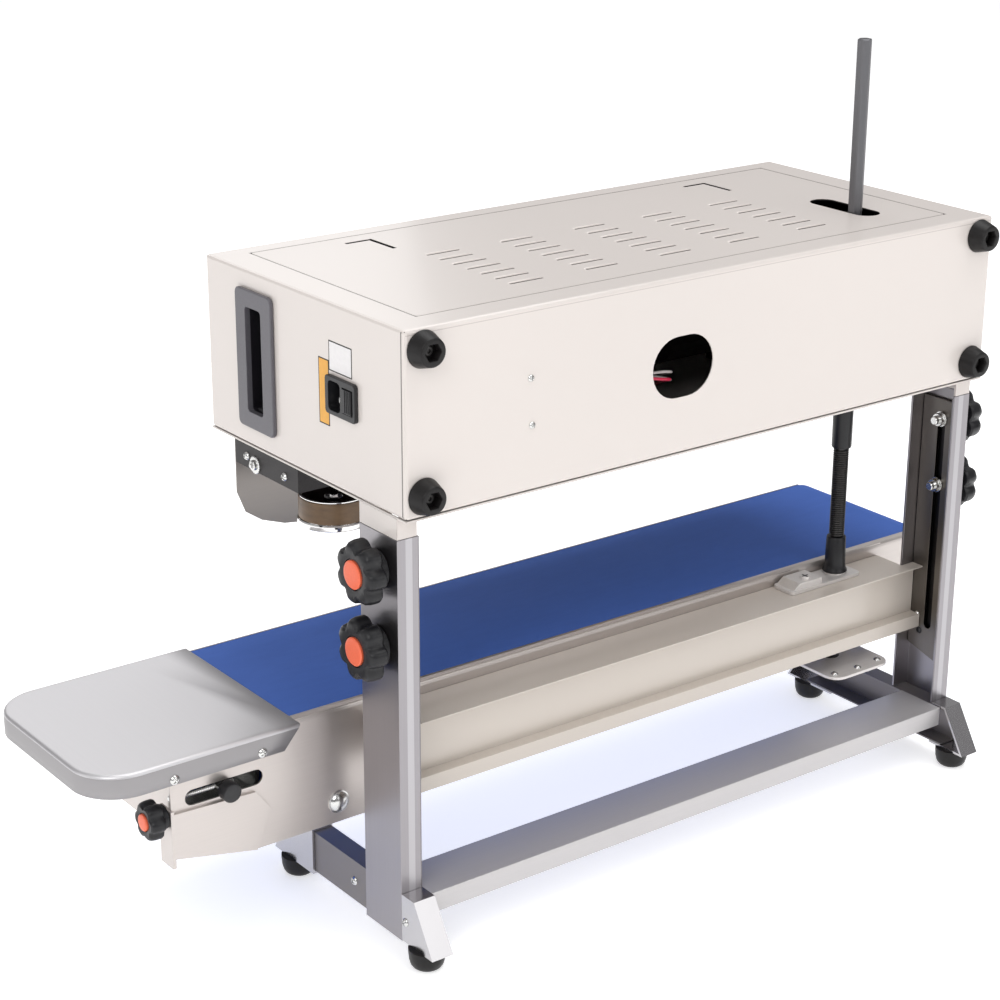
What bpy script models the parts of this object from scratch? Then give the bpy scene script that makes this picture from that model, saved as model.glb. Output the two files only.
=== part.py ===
"""Continuous band sealer: a sealing head on two legs over a height-adjustable belt conveyor.

Metres, +Z up. The working frame has x = 0 in the middle of the head, y = 0 on its rear face
(the front faces -Y) and z = 0 on the floor. Everything is parented to one empty, which moves
this frame so that the middle of the bounding box's base is the world origin.
"""

import math

import bmesh
import bpy
from mathutils import Matrix, Vector

# ---------------------------------------------------------------- driving dimensions
GAP = 0.0003  # between pieces that touch
RUNNING = 0.00009  # radial clearance of a shaft in its bearing

HEAD_LENGTH, HEAD_DEPTH, HEAD_HEIGHT = 0.610, 0.278, 0.1435
HEAD_BOTTOM = 0.3695
HEAD_TOP = HEAD_BOTTOM + HEAD_HEIGHT
HEAD_WALL = 0.0015
BASE_BOTTOM = HEAD_BOTTOM - 0.0018
COVER_HALF_X, COVER_FRONT, COVER_REAR = 0.2750, -0.2580, -0.0280
COVER_SEAM = 0.0007

LOUVRE_X = (0.150, 0.076, 0.0, -0.074, -0.150)
LOUVRE_ROWS, LOUVRE_FIRST_Y, LOUVRE_PITCH = 7, -0.170, 0.01825
LOUVRE_LENGTH, LOUVRE_WIDTH = 0.032, 0.0024

ROD_X, ROD_Y = -0.219, -0.0790
ROD_ACROSS_FLATS, ROD_TOP = 0.0112, 0.6605
ROD_SLOT_X, ROD_SLOT_Y, ROD_SLOT_WIDTH, ROD_SLOT_LENGTH = -0.224, -0.0965, 0.0245, 0.075

REAR_HOLE_X, REAR_HOLE_Z, REAR_HOLE_LENGTH, REAR_HOLE_HEIGHT = 0.0417, 0.4405, 0.062, 0.050
BUMPER_X, BUMPER_Z = 0.289, (0.4975, 0.386)
BUMPER_RADIUS, BUMPER_HEIGHT = 0.0148, 0.0138

GRIP_Y, GRIP_Z, GRIP_WIDTH, GRIP_HEIGHT = -0.2020, 0.442, 0.0525, 0.113
GRIP_POCKET_WIDTH, GRIP_POCKET_HEIGHT, GRIP_POCKET_DEPTH = 0.023, 0.0855, 0.022
INLET_Y, INLET_Z, INLET_WIDTH, INLET_HEIGHT = -0.0804, 0.443, 0.0402, 0.0300

# Controls on the front panel.
CONTROL_Z = 0.445
CONTROLLER_X, CONTROLLER_SIZE, CONTROLLER_CASE = -0.170, 0.048, 0.044
SPEED_X, SPEED_SHAFT_RADIUS = -0.105, 0.003
ROCKER_X = {"rocker_power": -0.055, "rocker_heat": -0.020}
ROCKER_WIDTH, ROCKER_HEIGHT = 0.0130, 0.0200

LEG_OUTER, LEG_SHEET, LEG_FLANGE = 0.3055, 0.0020, 0.0197
LEG_FRONT, LEG_REAR = -0.0613, -0.0113
LEG_MIDDLE = (LEG_FRONT + LEG_REAR) / 2
LEG_WEB_BOTTOM, LEG_FLANGE_BOTTOM, LEG_TOP = 0.0160, 0.0560, 0.3510
LEG_WEB_INNER = LEG_OUTER - LEG_SHEET
SOCKET_OUTER = LEG_OUTER - 0.0002

SLIDE_THICK, SLIDE_TOP = 0.0030, 0.3400
SLIDE_FRONT_FOOT, SLIDE_REAR_FOOT = 0.0985, 0.0860
SLIDE_OUTER = LEG_WEB_INNER - 0.0005
SLIDE_INNER = SLIDE_OUTER - SLIDE_THICK
SLIDE_SLOT_WIDTH, SLIDE_SLOT_BOTTOM, SLIDE_SLOT_TOP = 0.0086, 0.1187, 0.3275
CLAMP_Z = (0.3220, 0.2600)
CLAMP_BOLT_RADIUS = 0.0040
KNOB_RADIUS, KNOB_LOBES, KNOB_LOBE_DEPTH = 0.0255, 7, 0.0040

BELT_TOP, BELT_THICK = 0.1900, 0.0013
BELT_REAR, BELT_FRONT = -0.0968, -0.2492
ROLLER_Z = 0.1500
BELT_CLEARANCE = 0.0006
ROLLER_RADIUS = BELT_TOP - BELT_THICK - BELT_CLEARANCE - ROLLER_Z
TAIL_X, DRIVE_X, END_X = 0.4130, ROD_X, -0.3320
ROLLER_SHAFT_RADIUS = 0.0060
SIDE_REAR, SIDE_FRONT, SIDE_SHEET = -0.0910, -0.2550, 0.0016
SIDE_RIGHT, SIDE_LEFT, SIDE_BOTTOM = -0.3680, 0.4596, 0.1170
LIP_RIGHT = -0.3380
DEEP_START, DEEP_BOTTOM = 0.2750, 0.0884

BEAM_REAR, BEAM_TOP, BEAM_BOTTOM, BEAM_SHEET = -0.0460, 0.1776, 0.1174, 0.0015
BEAM_WEB_Y, BEAM_FLANGE_Z = -0.0570, 0.1300
BEAM_NOTCH_X = 0.2850

TRAY_TOP, TRAY_SHEET, TRAY_RIM = 0.1918, 0.0013, 0.0190
TRAY_START, TRAY_END, TRAY_REAR, TRAY_FRONT, TRAY_CORNER = 0.3520, 0.5280, -0.0765, -0.2567, 0.0380
TRAY_BOSS_X, TRAY_BOSS_Z = (0.3850, 0.4480), 0.1812
TENSION_Y, TENSION_Z, TENSION_FLANGE_X = -0.0985, 0.1375, SIDE_LEFT

# The drive line between head and conveyor, by the heights of its pieces.
UPPER_COUPLING = (0.3000, 0.3780)
LOWER_COUPLING_TOP = 0.2160
BEARING_HEIGHT, CLAMP_HEIGHT = 0.0040, 0.0085
LOWER_PLATE_Z = (0.0960, 0.0985)
DRIVE_SHAFT_RADIUS, DRIVE_SHAFT_BOTTOM = 0.0050, 0.0880
BEVEL_RADIUS = 0.0085
COIL_RIBS = 9

BLOCK_HALF_X, BLOCK_FRONT, BLOCK_REAR, BLOCK_BOTTOM, BLOCK_WALL = 0.3005, -0.2500, -0.1545, 0.3450, 0.0025
# The drive wheels face each other; the front idler sits further in than the rear one.
DRIVE_WHEEL_X, IDLER_WHEEL_X = -0.2570, {"rear": 0.2570, "front": 0.2050}
WHEEL_RADIUS, WHEEL_BOTTOM, WHEEL_TOP = 0.0275, 0.3080, 0.3330
WHEEL_FLANGE_RADIUS, WHEEL_FLANGE, WHEEL_SHAFT_RADIUS = 0.0297, 0.0035, 0.0040
WHEEL_Y = {"rear": -0.1720, "front": -0.2320}
SEAL_BELT_THICK, SEAL_BELT_WIDTH = 0.0007, 0.0200
HEATING_X, COOLING_X = (-0.140, -0.030), (0.020, 0.120)
GUARD_REAR, GUARD_THICK, GUARD_BOTTOM, GUARD_HALF_X = -0.2635, 0.0012, 0.2728, 0.2925

RAIL_OUTER, RAIL_WIDTH, RAIL_SHEET = 0.3032, 0.0178, 0.0015
RAIL_BOTTOM, RAIL_TOP, RAIL_FRONT, RAIL_REAR = 0.0193, 0.0552, -0.1730, 0.0030
BRACKET_BOTTOM, BRACKET_TOP, BRACKET_SHEET, BRACKET_INNER = 0.0170, 0.0575, 0.0020, 0.2857
CROSSBAR_TOP, CROSSBAR_BOTTOM, CROSSBAR_DEPTH, CROSSBAR_SHEET = 0.0560, 0.0385, 0.0480, 0.0015
FOOT_RADIUS, FOOT_X, FOOT_Y = 0.0150, 0.2955, (0.0085, -0.1780)

# Outer limits, used to put the origin under the middle of the bounding box.
OVERALL_LEFT = TRAY_END
OVERALL_RIGHT = END_X - (BELT_TOP - ROLLER_Z)
OVERALL_REAR = 0.0300
OVERALL_FRONT = -0.2920

# ---------------------------------------------------------------- scene and helpers
for old in list(bpy.data.objects):
    bpy.data.objects.remove(old)

parts = bpy.data.collections.new("band_sealer")
cutters = bpy.data.collections.new("cutters")
for group in (parts, cutters):
    bpy.context.scene.collection.children.link(group)
cutters.hide_render = True

root = bpy.data.objects.new("floor_frame", None)
root.location = (-(OVERALL_LEFT + OVERALL_RIGHT) / 2, -(OVERALL_REAR + OVERALL_FRONT) / 2, 0)
parts.objects.link(root)


def material(name, colour, roughness, metallic=0.0):
    made = bpy.data.materials.new(name)
    made.use_nodes = True
    shader = made.node_tree.nodes["Principled BSDF"]
    shader.inputs["Base Color"].default_value = (*colour, 1.0)
    shader.inputs["Roughness"].default_value = roughness
    shader.inputs["Metallic"].default_value = metallic
    return made


PAINT = ((0.78, 0.74, 0.69), 0.25)
STEEL = ((0.62, 0.62, 0.61), 0.32, 1.0)
ALUMINIUM = ((0.72, 0.73, 0.75), 0.28, 1.0)
BLACK_PLASTIC = ((0.02, 0.02, 0.022), 0.35)
RUBBER = ((0.018, 0.018, 0.018), 0.7)
DARK_METAL = ((0.05, 0.05, 0.052), 0.4, 0.6)
BRASS = ((0.72, 0.53, 0.25), 0.3, 1.0)


def object_of(name, mesh):
    made = bpy.data.objects.new(name, mesh)
    parts.objects.link(made)
    return made


def box(name, low, high):
    """A block between two opposite corners."""
    low, high = Vector(low), Vector(high)
    built = bmesh.new()
    bmesh.ops.create_cube(built, size=1.0)
    bmesh.ops.scale(built, vec=high - low, verts=built.verts)
    bmesh.ops.translate(built, vec=(low + high) / 2, verts=built.verts)
    mesh = bpy.data.meshes.new(name)
    built.to_mesh(mesh)
    built.free()
    return object_of(name, mesh)


def turned(name, start, end, radius, end_radius=None, sides=24):
    """A cylinder or cone between two points on its axis."""
    start, end = Vector(start), Vector(end)
    along = end - start
    built = bmesh.new()
    bmesh.ops.create_cone(
        built,
        cap_ends=True,
        segments=sides,
        radius1=radius,
        radius2=radius if end_radius is None else end_radius,
        depth=along.length,
    )
    turn = Vector((0, 0, 1)).rotation_difference(along).to_matrix().to_4x4()
    bmesh.ops.transform(built, matrix=Matrix.Translation((start + end) / 2) @ turn, verts=built.verts)
    mesh = bpy.data.meshes.new(name)
    built.to_mesh(mesh)
    built.free()
    return object_of(name, mesh)


# Each turns a drawing plane into the plane across an axis: X takes (y, z), Y takes (x, z), Z takes (x, y).
ACROSS = {
    "X": Matrix(((0, 0, 1, 0), (1, 0, 0, 0), (0, 1, 0, 0), (0, 0, 0, 1))),
    "Y": Matrix(((1, 0, 0, 0), (0, 0, -1, 0), (0, 1, 0, 0), (0, 0, 0, 1))),
    "Z": Matrix.Identity(4),
}


def plate(name, outline, axis, low, high, holes=()):
    """A flat outline with holes, as thick as low to high along an axis."""
    curve = bpy.data.curves.new(name, "CURVE")
    curve.dimensions = "2D"
    curve.fill_mode = "BOTH"
    curve.extrude = (high - low) / 2
    for loop in (outline, *holes):
        spline = curve.splines.new("POLY")
        spline.points.add(len(loop) - 1)
        for point, (u, v) in zip(spline.points, loop):
            point.co = (u, v, 0, 1)
        spline.use_cyclic_u = True
    drawn = object_of(name + "_outline", curve)
    middle = (low + high) / 2
    drawn.matrix_world = ACROSS[axis] @ Matrix.Translation((0, 0, -middle if axis == "Y" else middle))
    bpy.context.view_layer.update()
    evaluated = drawn.evaluated_get(bpy.context.evaluated_depsgraph_get())
    mesh = bpy.data.meshes.new_from_object(evaluated)
    mesh.transform(drawn.matrix_world)
    bpy.data.objects.remove(drawn)
    built = bmesh.new()
    built.from_mesh(mesh)
    bmesh.ops.remove_doubles(built, verts=built.verts, dist=0.00001)
    bmesh.ops.recalc_face_normals(built, faces=built.faces)
    built.to_mesh(mesh)
    built.free()
    mesh.name = name
    return object_of(name, mesh)


def arc(centre, radius, first, last, steps):
    """Points on a circle, between two angles in degrees."""
    found = []
    for step in range(steps + 1):
        angle = math.radians(first + (last - first) * step / steps)
        found.append((centre[0] + radius * math.cos(angle), centre[1] + radius * math.sin(angle)))
    return found


def circle(centre, radius, sides=24):
    return arc(centre, radius, 0, 360, sides)[:-1]


def rectangle(low, high):
    return [low, (high[0], low[1]), high, (low[0], high[1])]


def rounded_rectangle(low, high, radius, steps=4):
    left, right = low[0] + radius, high[0] - radius
    bottom, top = low[1] + radius, high[1] - radius
    return (
        arc((left, bottom), radius, 180, 270, steps)
        + arc((right, bottom), radius, 270, 360, steps)
        + arc((right, top), radius, 0, 90, steps)
        + arc((left, top), radius, 90, 180, steps)
    )


def obround(low, high, steps=6):
    """A slot's outline with full round ends, between two corners."""
    radius = min(high[0] - low[0], high[1] - low[1]) / 2
    return without_repeats(rounded_rectangle(low, high, radius, steps))


def without_repeats(loop):
    kept = []
    for point in loop:
        if not kept or math.dist(point, kept[-1]) > 1e-7:
            kept.append(point)
    if math.dist(kept[0], kept[-1]) < 1e-7:
        kept.pop()
    return kept


def stadium(left, right, height, radius, steps=10):
    """The outline of a band round two equal rollers."""
    return arc((right, height), radius, -90, 90, steps) + arc((left, height), radius, 90, 270, steps)


def mirrored(loop):
    return [(-u, v) for u, v in reversed(loop)]


def boolean(target, helper, operation):
    parts.objects.unlink(helper)
    cutters.objects.link(helper)
    helper.name = target.name + "_" + operation.lower() + "_" + helper.name
    helper.hide_render = True
    helper.display_type = "WIRE"
    modifier = target.modifiers.new(helper.name[:60], "BOOLEAN")
    modifier.operation = operation
    modifier.solver = "EXACT"
    modifier.object = helper


def cut(target, *helpers):
    for helper in helpers:
        boolean(target, helper, "DIFFERENCE")


def join(target, *helpers):
    for helper in helpers:
        boolean(target, helper, "UNION")


def soften(target, width, segments=2):
    """Rounds the edges that the shape has so far."""
    bevel = target.modifiers.new("rounded_edges", "BEVEL")
    bevel.width = width
    bevel.segments = segments
    bevel.limit_method = "ANGLE"
    bevel.angle_limit = math.radians(40)


def finish(target, surface, pivot=(0, 0, 0)):
    """Settles the modifiers into the mesh, puts the origin on the pivot and gives the piece its material."""
    bpy.context.view_layer.update()
    evaluated = target.evaluated_get(bpy.context.evaluated_depsgraph_get())
    mesh = bpy.data.meshes.new_from_object(evaluated)
    target.modifiers.clear()
    mesh.name = target.name
    mesh.transform(Matrix.Translation(-Vector(pivot)))
    mesh.materials.clear()
    mesh.materials.append(surface)
    mesh.shade_smooth()
    mesh.set_sharp_from_angle(angle=math.radians(32))
    target.data = mesh
    target.location = pivot
    target.parent = root
    return target


# ---------------------------------------------------------------- head: housing, cover, base
def head_housing():
    half = HEAD_LENGTH / 2
    housing = box("head_housing", (-half, -HEAD_DEPTH, HEAD_BOTTOM), (half, 0, HEAD_TOP))
    soften(housing, 0.0025)
    inside = box(
        "inside",
        (-half + HEAD_WALL, -HEAD_DEPTH + HEAD_WALL, HEAD_BOTTOM - 0.01),
        (half - HEAD_WALL, -HEAD_WALL, HEAD_TOP - HEAD_WALL),
    )
    top_opening = box(
        "top_opening",
        (-COVER_HALF_X - COVER_SEAM, COVER_FRONT - COVER_SEAM, HEAD_TOP - 0.01),
        (COVER_HALF_X + COVER_SEAM, COVER_REAR + COVER_SEAM, HEAD_TOP + 0.01),
    )
    rear_hole = plate(
        "rear_hole",
        obround(
            (REAR_HOLE_X - REAR_HOLE_LENGTH / 2, REAR_HOLE_Z - REAR_HOLE_HEIGHT / 2),
            (REAR_HOLE_X + REAR_HOLE_LENGTH / 2, REAR_HOLE_Z + REAR_HOLE_HEIGHT / 2),
            8,
        ),
        "Y",
        -0.01,
        0.01,
    )
    cut(housing, inside, top_opening, rear_hole)
    cut(
        housing,
        box(
            "grip_opening",
            (half - 0.01, GRIP_Y - GRIP_WIDTH / 2 + 0.006, GRIP_Z - GRIP_HEIGHT / 2 + 0.007),
            (half + 0.01, GRIP_Y + GRIP_WIDTH / 2 - 0.006, GRIP_Z + GRIP_HEIGHT / 2 - 0.007),
        ),
        box(
            "inlet_opening",
            (half - 0.01, INLET_Y - INLET_WIDTH / 2 + 0.002, INLET_Z - INLET_HEIGHT / 2 + 0.002),
            (half + 0.01, INLET_Y + INLET_WIDTH / 2 - 0.002, INLET_Z + INLET_HEIGHT / 2 - 0.002),
        ),
    )
    openings = [(CONTROLLER_X, CONTROLLER_CASE + 0.001, CONTROLLER_CASE + 0.001)]
    openings += [(x, ROCKER_WIDTH + 0.001, ROCKER_HEIGHT + 0.002) for x in ROCKER_X.values()]
    for x, width, height in openings:
        cut(
            housing,
            box(
                "control_opening",
                (x - width / 2, -HEAD_DEPTH - 0.01, CONTROL_Z - height / 2),
                (x + width / 2, -HEAD_DEPTH + 0.01, CONTROL_Z + height / 2),
            ),
        )
    cut(
        housing,
        turned(
            "speed_shaft_hole",
            (SPEED_X, -HEAD_DEPTH - 0.01, CONTROL_Z),
            (SPEED_X, -HEAD_DEPTH + 0.01, CONTROL_Z),
            SPEED_SHAFT_RADIUS + RUNNING,
        ),
    )
    finish(housing, material("housing_paint", *PAINT))


def cover_slots():
    """Louvre slots, the two L-shaped lanced cuts and the long hole that the rod passes."""
    holes = []
    for x in LOUVRE_X:
        for row in range(LOUVRE_ROWS):
            y = LOUVRE_FIRST_Y + row * LOUVRE_PITCH
            holes.append(
                rectangle(
                    (x - LOUVRE_LENGTH / 2, y - LOUVRE_WIDTH / 2),
                    (x + LOUVRE_LENGTH / 2, y + LOUVRE_WIDTH / 2),
                )
            )
    for corner_x in (0.171, -0.191):
        corner_y, width, along_x, along_y = -0.242, 0.004, 0.026, 0.038
        holes.append(
            [
                (corner_x, corner_y),
                (corner_x + along_x, corner_y),
                (corner_x + along_x, corner_y + width),
                (corner_x + width, corner_y + width),
                (corner_x + width, corner_y + along_y),
                (corner_x, corner_y + along_y),
            ]
        )
    holes.append(
        obround(
            (ROD_SLOT_X - ROD_SLOT_WIDTH / 2, ROD_SLOT_Y - ROD_SLOT_LENGTH / 2),
            (ROD_SLOT_X + ROD_SLOT_WIDTH / 2, ROD_SLOT_Y + ROD_SLOT_LENGTH / 2),
            8,
        )
    )
    return holes


def top_cover():
    cover = plate(
        "top_cover",
        rounded_rectangle((-COVER_HALF_X, COVER_FRONT), (COVER_HALF_X, COVER_REAR), 0.002, 2),
        "Z",
        HEAD_TOP - HEAD_WALL,
        HEAD_TOP,
        cover_slots(),
    )
    finish(cover, material("cover_paint", *PAINT))


def head_base():
    """The base plate with its two leg sockets, and the slits that the slide plates rise through."""
    half = HEAD_LENGTH / 2
    low_z, high_z = BASE_BOTTOM, HEAD_BOTTOM - GAP
    holes = [circle((ROD_X, ROD_Y), 0.0115)]
    for side in (-1, 1):
        ends = sorted((side * (SLIDE_INNER - 0.0008), side * (SLIDE_OUTER + GAP)))
        holes.append(rectangle((ends[0], LEG_FRONT + 0.0015), (ends[1], LEG_REAR - 0.0015)))
    base = plate(
        "head_base",
        rectangle((-half, -HEAD_DEPTH), (half, 0)),
        "Z",
        low_z,
        high_z,
        holes,
    )
    for side in (-1, 1):
        socket = leg_profile(
            SOCKET_OUTER, LEG_SHEET, LEG_FLANGE - 0.002, LEG_FRONT + 0.0002, LEG_REAR - 0.0002
        )
        if side < 0:
            socket = mirrored(socket)
        join(base, plate("socket", socket, "Z", LEG_TOP + GAP, low_z + 0.0005))
    finish(base, material("base_paint", *PAINT))


def leg_profile(outer, sheet, flange, front, rear):
    """A channel with its web outward and its flanges inward."""
    inner = outer - flange
    return [
        (inner, front),
        (outer, front),
        (outer, rear),
        (inner, rear),
        (inner, rear - sheet),
        (outer - sheet, rear - sheet),
        (outer - sheet, front + sheet),
        (inner, front + sheet),
    ]


def grip():
    """A bezel on the end panel with a finger pocket closed at the back."""
    face = HEAD_LENGTH / 2 + GAP
    outer = (
        (GRIP_Y - GRIP_WIDTH / 2, GRIP_Z - GRIP_HEIGHT / 2),
        (GRIP_Y + GRIP_WIDTH / 2, GRIP_Z + GRIP_HEIGHT / 2),
    )
    bezel = plate("grip", rounded_rectangle(*outer, 0.005, 3), "X", face, face + 0.0035)
    soften(bezel, 0.0015, 1)
    wall = 0.002
    deep = face - GRIP_POCKET_DEPTH
    pocket_low = (GRIP_Y - GRIP_POCKET_WIDTH / 2, GRIP_Z - GRIP_POCKET_HEIGHT / 2)
    pocket_high = (GRIP_Y + GRIP_POCKET_WIDTH / 2, GRIP_Z + GRIP_POCKET_HEIGHT / 2)
    shell = box(
        "pocket_shell",
        (deep - wall, pocket_low[0] - wall, pocket_low[1] - wall),
        (face + 0.001, pocket_high[0] + wall, pocket_high[1] + wall),
    )
    join(bezel, shell)
    cut(bezel, plate("pocket", rounded_rectangle(pocket_low, pocket_high, 0.003, 3), "X", deep, face + 0.01))
    finish(bezel, material("grip_plastic", (0.05, 0.05, 0.06), 0.4))


def mains_inlet():
    """A panel inlet: three-pin socket at the front, fuse drawer at the rear of the same flange."""
    face = HEAD_LENGTH / 2 + GAP
    low = (INLET_Y - INLET_WIDTH / 2, INLET_Z - INLET_HEIGHT / 2)
    high = (INLET_Y + INLET_WIDTH / 2, INLET_Z + INLET_HEIGHT / 2)
    inlet = plate("mains_inlet", rounded_rectangle(low, high, 0.003, 3), "X", face, face + 0.0032)
    soften(inlet, 0.0009, 1)
    back = face - 0.020
    join(
        inlet,
        box(
            "body",
            (back, low[0] + 0.0025, low[1] + 0.0025),
            (face + 0.001, high[0] - 0.0025, high[1] - 0.0025),
        ),
    )
    socket_low = (low[0] + 0.0045, low[1] + 0.0035)
    socket_high = (low[0] + 0.0205, high[1] - 0.0035)
    cut(
        inlet,
        plate("socket", rounded_rectangle(socket_low, socket_high, 0.003, 2), "X", face - 0.016, face + 0.01),
    )
    drawer_low = (low[0] + 0.0235, low[1] + 0.0050)
    drawer_high = (high[0] - 0.0030, high[1] - 0.0050)
    cut(inlet, box("drawer_gap", (face + 0.0015, *drawer_low), (face + 0.01, *drawer_high)))
    join(
        inlet,
        box(
            "drawer",
            (face + 0.0005, drawer_low[0] + 0.0008, drawer_low[1] + 0.0008),
            (face + 0.0040, drawer_high[0] - 0.0008, drawer_high[1] - 0.0008),
        ),
    )
    middle_y = (socket_low[0] + socket_high[0]) / 2
    for y, z in (
        (middle_y, INLET_Z + 0.006),
        (middle_y - 0.0035, INLET_Z - 0.005),
        (middle_y + 0.0035, INLET_Z - 0.005),
    ):
        join(
            inlet, box("pin", (face - 0.0165, y - 0.0009, z - 0.002), (face - 0.0060, y + 0.0009, z + 0.002))
        )
    finish(inlet, material("inlet_plastic", *BLACK_PLASTIC))


def bumper(name, x, z):
    """A tapered rubber buffer on the rear panel, with a hexagonal screw recess."""
    made = turned(name, (x, GAP, z), (x, BUMPER_HEIGHT, z), BUMPER_RADIUS, BUMPER_RADIUS - 0.0042, 24)
    soften(made, 0.0015, 1)
    cut(made, turned("recess", (x, BUMPER_HEIGHT - 0.006, z), (x, BUMPER_HEIGHT + 0.01, z), 0.0070, sides=6))
    finish(made, material(name + "_rubber", *RUBBER))


# ---------------------------------------------------------------- controls and drive inside the head
def temperature_controller():
    half = CONTROLLER_SIZE / 2
    front = -HEAD_DEPTH - GAP
    made = plate(
        "temperature_controller",
        rounded_rectangle(
            (CONTROLLER_X - half, CONTROL_Z - half), (CONTROLLER_X + half, CONTROL_Z + half), 0.003, 2
        ),
        "Y",
        front - 0.006,
        front,
    )
    soften(made, 0.001, 1)
    half = CONTROLLER_CASE / 2
    low, high = (CONTROLLER_X - half, front - 0.001, CONTROL_Z - half), (
        CONTROLLER_X + half, front + 0.06, CONTROL_Z + half
    )
    join(made, box("case", low, high))
    cut(
        made,
        box(
            "window",
            (CONTROLLER_X - 0.018, front - 0.01, CONTROL_Z),
            (CONTROLLER_X + 0.018, front - 0.005, CONTROL_Z + 0.018),
        ),
    )
    finish(made, material("controller_plastic", *BLACK_PLASTIC))


def speed_knob():
    front = -HEAD_DEPTH - GAP
    made = turned(
        "speed_knob", (SPEED_X, front, CONTROL_Z), (SPEED_X, OVERALL_FRONT, CONTROL_Z), 0.0125, 0.0105, 24
    )
    soften(made, 0.001, 1)
    join(
        made,
        turned(
            "shaft",
            (SPEED_X, front - 0.002, CONTROL_Z),
            (SPEED_X, front + 0.012, CONTROL_Z),
            SPEED_SHAFT_RADIUS,
            sides=24,
        ),
    )
    finish(made, material("speed_knob_plastic", *BLACK_PLASTIC), (SPEED_X, front, CONTROL_Z))


def rocker(name, x):
    """A rocker that tilts about a pin behind the panel; at rest its upper half is pressed in."""
    pivot_y = -HEAD_DEPTH + 0.0030
    half = ROCKER_HEIGHT / 2 - 0.0005
    profile = [
        (pivot_y + 0.004, CONTROL_Z - half + 0.002),
        (pivot_y - 0.008, CONTROL_Z - half),
        (pivot_y - 0.0055, CONTROL_Z),
        (pivot_y - 0.0048, CONTROL_Z + half),
        (pivot_y + 0.004, CONTROL_Z + half - 0.002),
    ]
    made = plate(name, profile, "X", x - ROCKER_WIDTH / 2 + 0.0003, x + ROCKER_WIDTH / 2 - 0.0003)
    finish(made, material(name + "_plastic", *BLACK_PLASTIC), (x, pivot_y, CONTROL_Z))


def drive_motor():
    """The geared motor that turns the sealing belts and, through the rod, the conveyor."""
    y, z = -0.150, 0.4200
    made = turned("drive_motor", (-0.150, y, z), (-0.050, y, z), 0.030)
    soften(made, 0.003, 1)
    join(made, box("gear_case", (-0.190, y - 0.034, HEAD_BOTTOM), (-0.148, y + 0.034, z + 0.034)))
    finish(made, material("motor_paint", *DARK_METAL))


# ---------------------------------------------------------------- sealing unit under the head
def sealing_mount():
    """The black channel that carries the sealing wheels, with bearing holes for their shafts."""
    low = (-BLOCK_HALF_X, BLOCK_FRONT, BLOCK_BOTTOM)
    high = (BLOCK_HALF_X, BLOCK_REAR, BASE_BOTTOM - GAP)
    made = box("sealing_mount", low, high)
    wall = BLOCK_WALL
    cut(
        made,
        box(
            "inside",
            (low[0] + wall, low[1] + wall, low[2] + wall),
            (high[0] - wall, high[1] - wall, high[2] + 0.01),
        ),
    )
    for side, y in WHEEL_Y.items():
        for x in (DRIVE_WHEEL_X, IDLER_WHEEL_X[side]):
            cut(
                made,
                turned(
                    "bearing",
                    (x, y, low[2] - 0.01),
                    (x, y, low[2] + 0.01),
                    WHEEL_SHAFT_RADIUS + RUNNING,
                    sides=20,
                ),
            )
    finish(made, material("mount_black", (0.03, 0.028, 0.03), 0.45, 0.3))


def guard_plate():
    """The stainless front guard, with its lower corners cut back, held off the mount by three bosses."""
    right = [
        (GUARD_HALF_X, BASE_BOTTOM - 0.002),
        (GUARD_HALF_X, GUARD_BOTTOM + 0.0402),
        (GUARD_HALF_X - 0.0077, GUARD_BOTTOM + 0.0210),
        (GUARD_HALF_X - 0.0228, GUARD_BOTTOM + 0.0106),
        (GUARD_HALF_X - 0.0450, GUARD_BOTTOM + 0.0028),
        (GUARD_HALF_X - 0.0655, GUARD_BOTTOM),
    ]
    made = plate("guard_plate", right + mirrored(right), "Y", GUARD_REAR - GUARD_THICK, GUARD_REAR)
    for x in (-0.20, 0.0, 0.20):
        z = (BLOCK_BOTTOM + BASE_BOTTOM) / 2
        join(made, turned("boss", (x, GUARD_REAR - 0.0005, z), (x, BLOCK_FRONT - GAP, z), 0.005, sides=14))
    finish(made, material("guard_steel", *STEEL))


def sealing_wheel(name, x, y):
    """A cup-shaped wheel, open at the top, with a flange under the band and a shaft up into the mount."""
    made = turned(
        name, (x, y, WHEEL_BOTTOM), (x, y, WHEEL_BOTTOM + WHEEL_FLANGE), WHEEL_FLANGE_RADIUS, sides=28
    )
    join(made, turned("rim", (x, y, WHEEL_BOTTOM + 0.001), (x, y, WHEEL_TOP), WHEEL_RADIUS, sides=28))
    cut(
        made,
        turned("cup", (x, y, WHEEL_BOTTOM + 0.007), (x, y, WHEEL_TOP + 0.01), WHEEL_RADIUS - 0.003, sides=28),
    )
    join(made, turned("hub", (x, y, WHEEL_BOTTOM + 0.005), (x, y, WHEEL_TOP - 0.003), 0.008, sides=14))
    join(
        made,
        turned(
            "shaft", (x, y, WHEEL_BOTTOM + 0.005), (x, y, BLOCK_BOTTOM + 0.008), WHEEL_SHAFT_RADIUS, sides=20
        ),
    )
    finish(made, material(name + "_chrome", (0.75, 0.75, 0.76), 0.15, 1.0), (x, y, WHEEL_TOP))


def sealing_belt(name, right, y):
    """A closed band round the two wheels of its side."""
    inner = WHEEL_RADIUS + GAP
    low = WHEEL_BOTTOM + WHEEL_FLANGE + GAP
    made = plate(
        name,
        stadium(DRIVE_WHEEL_X, right, y, inner + SEAL_BELT_THICK, 14),
        "Z",
        low,
        low + SEAL_BELT_WIDTH,
        [stadium(DRIVE_WHEEL_X, right, y, inner, 14)],
    )
    finish(made, material(name + "_ptfe", (0.28, 0.16, 0.08), 0.45))


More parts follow.
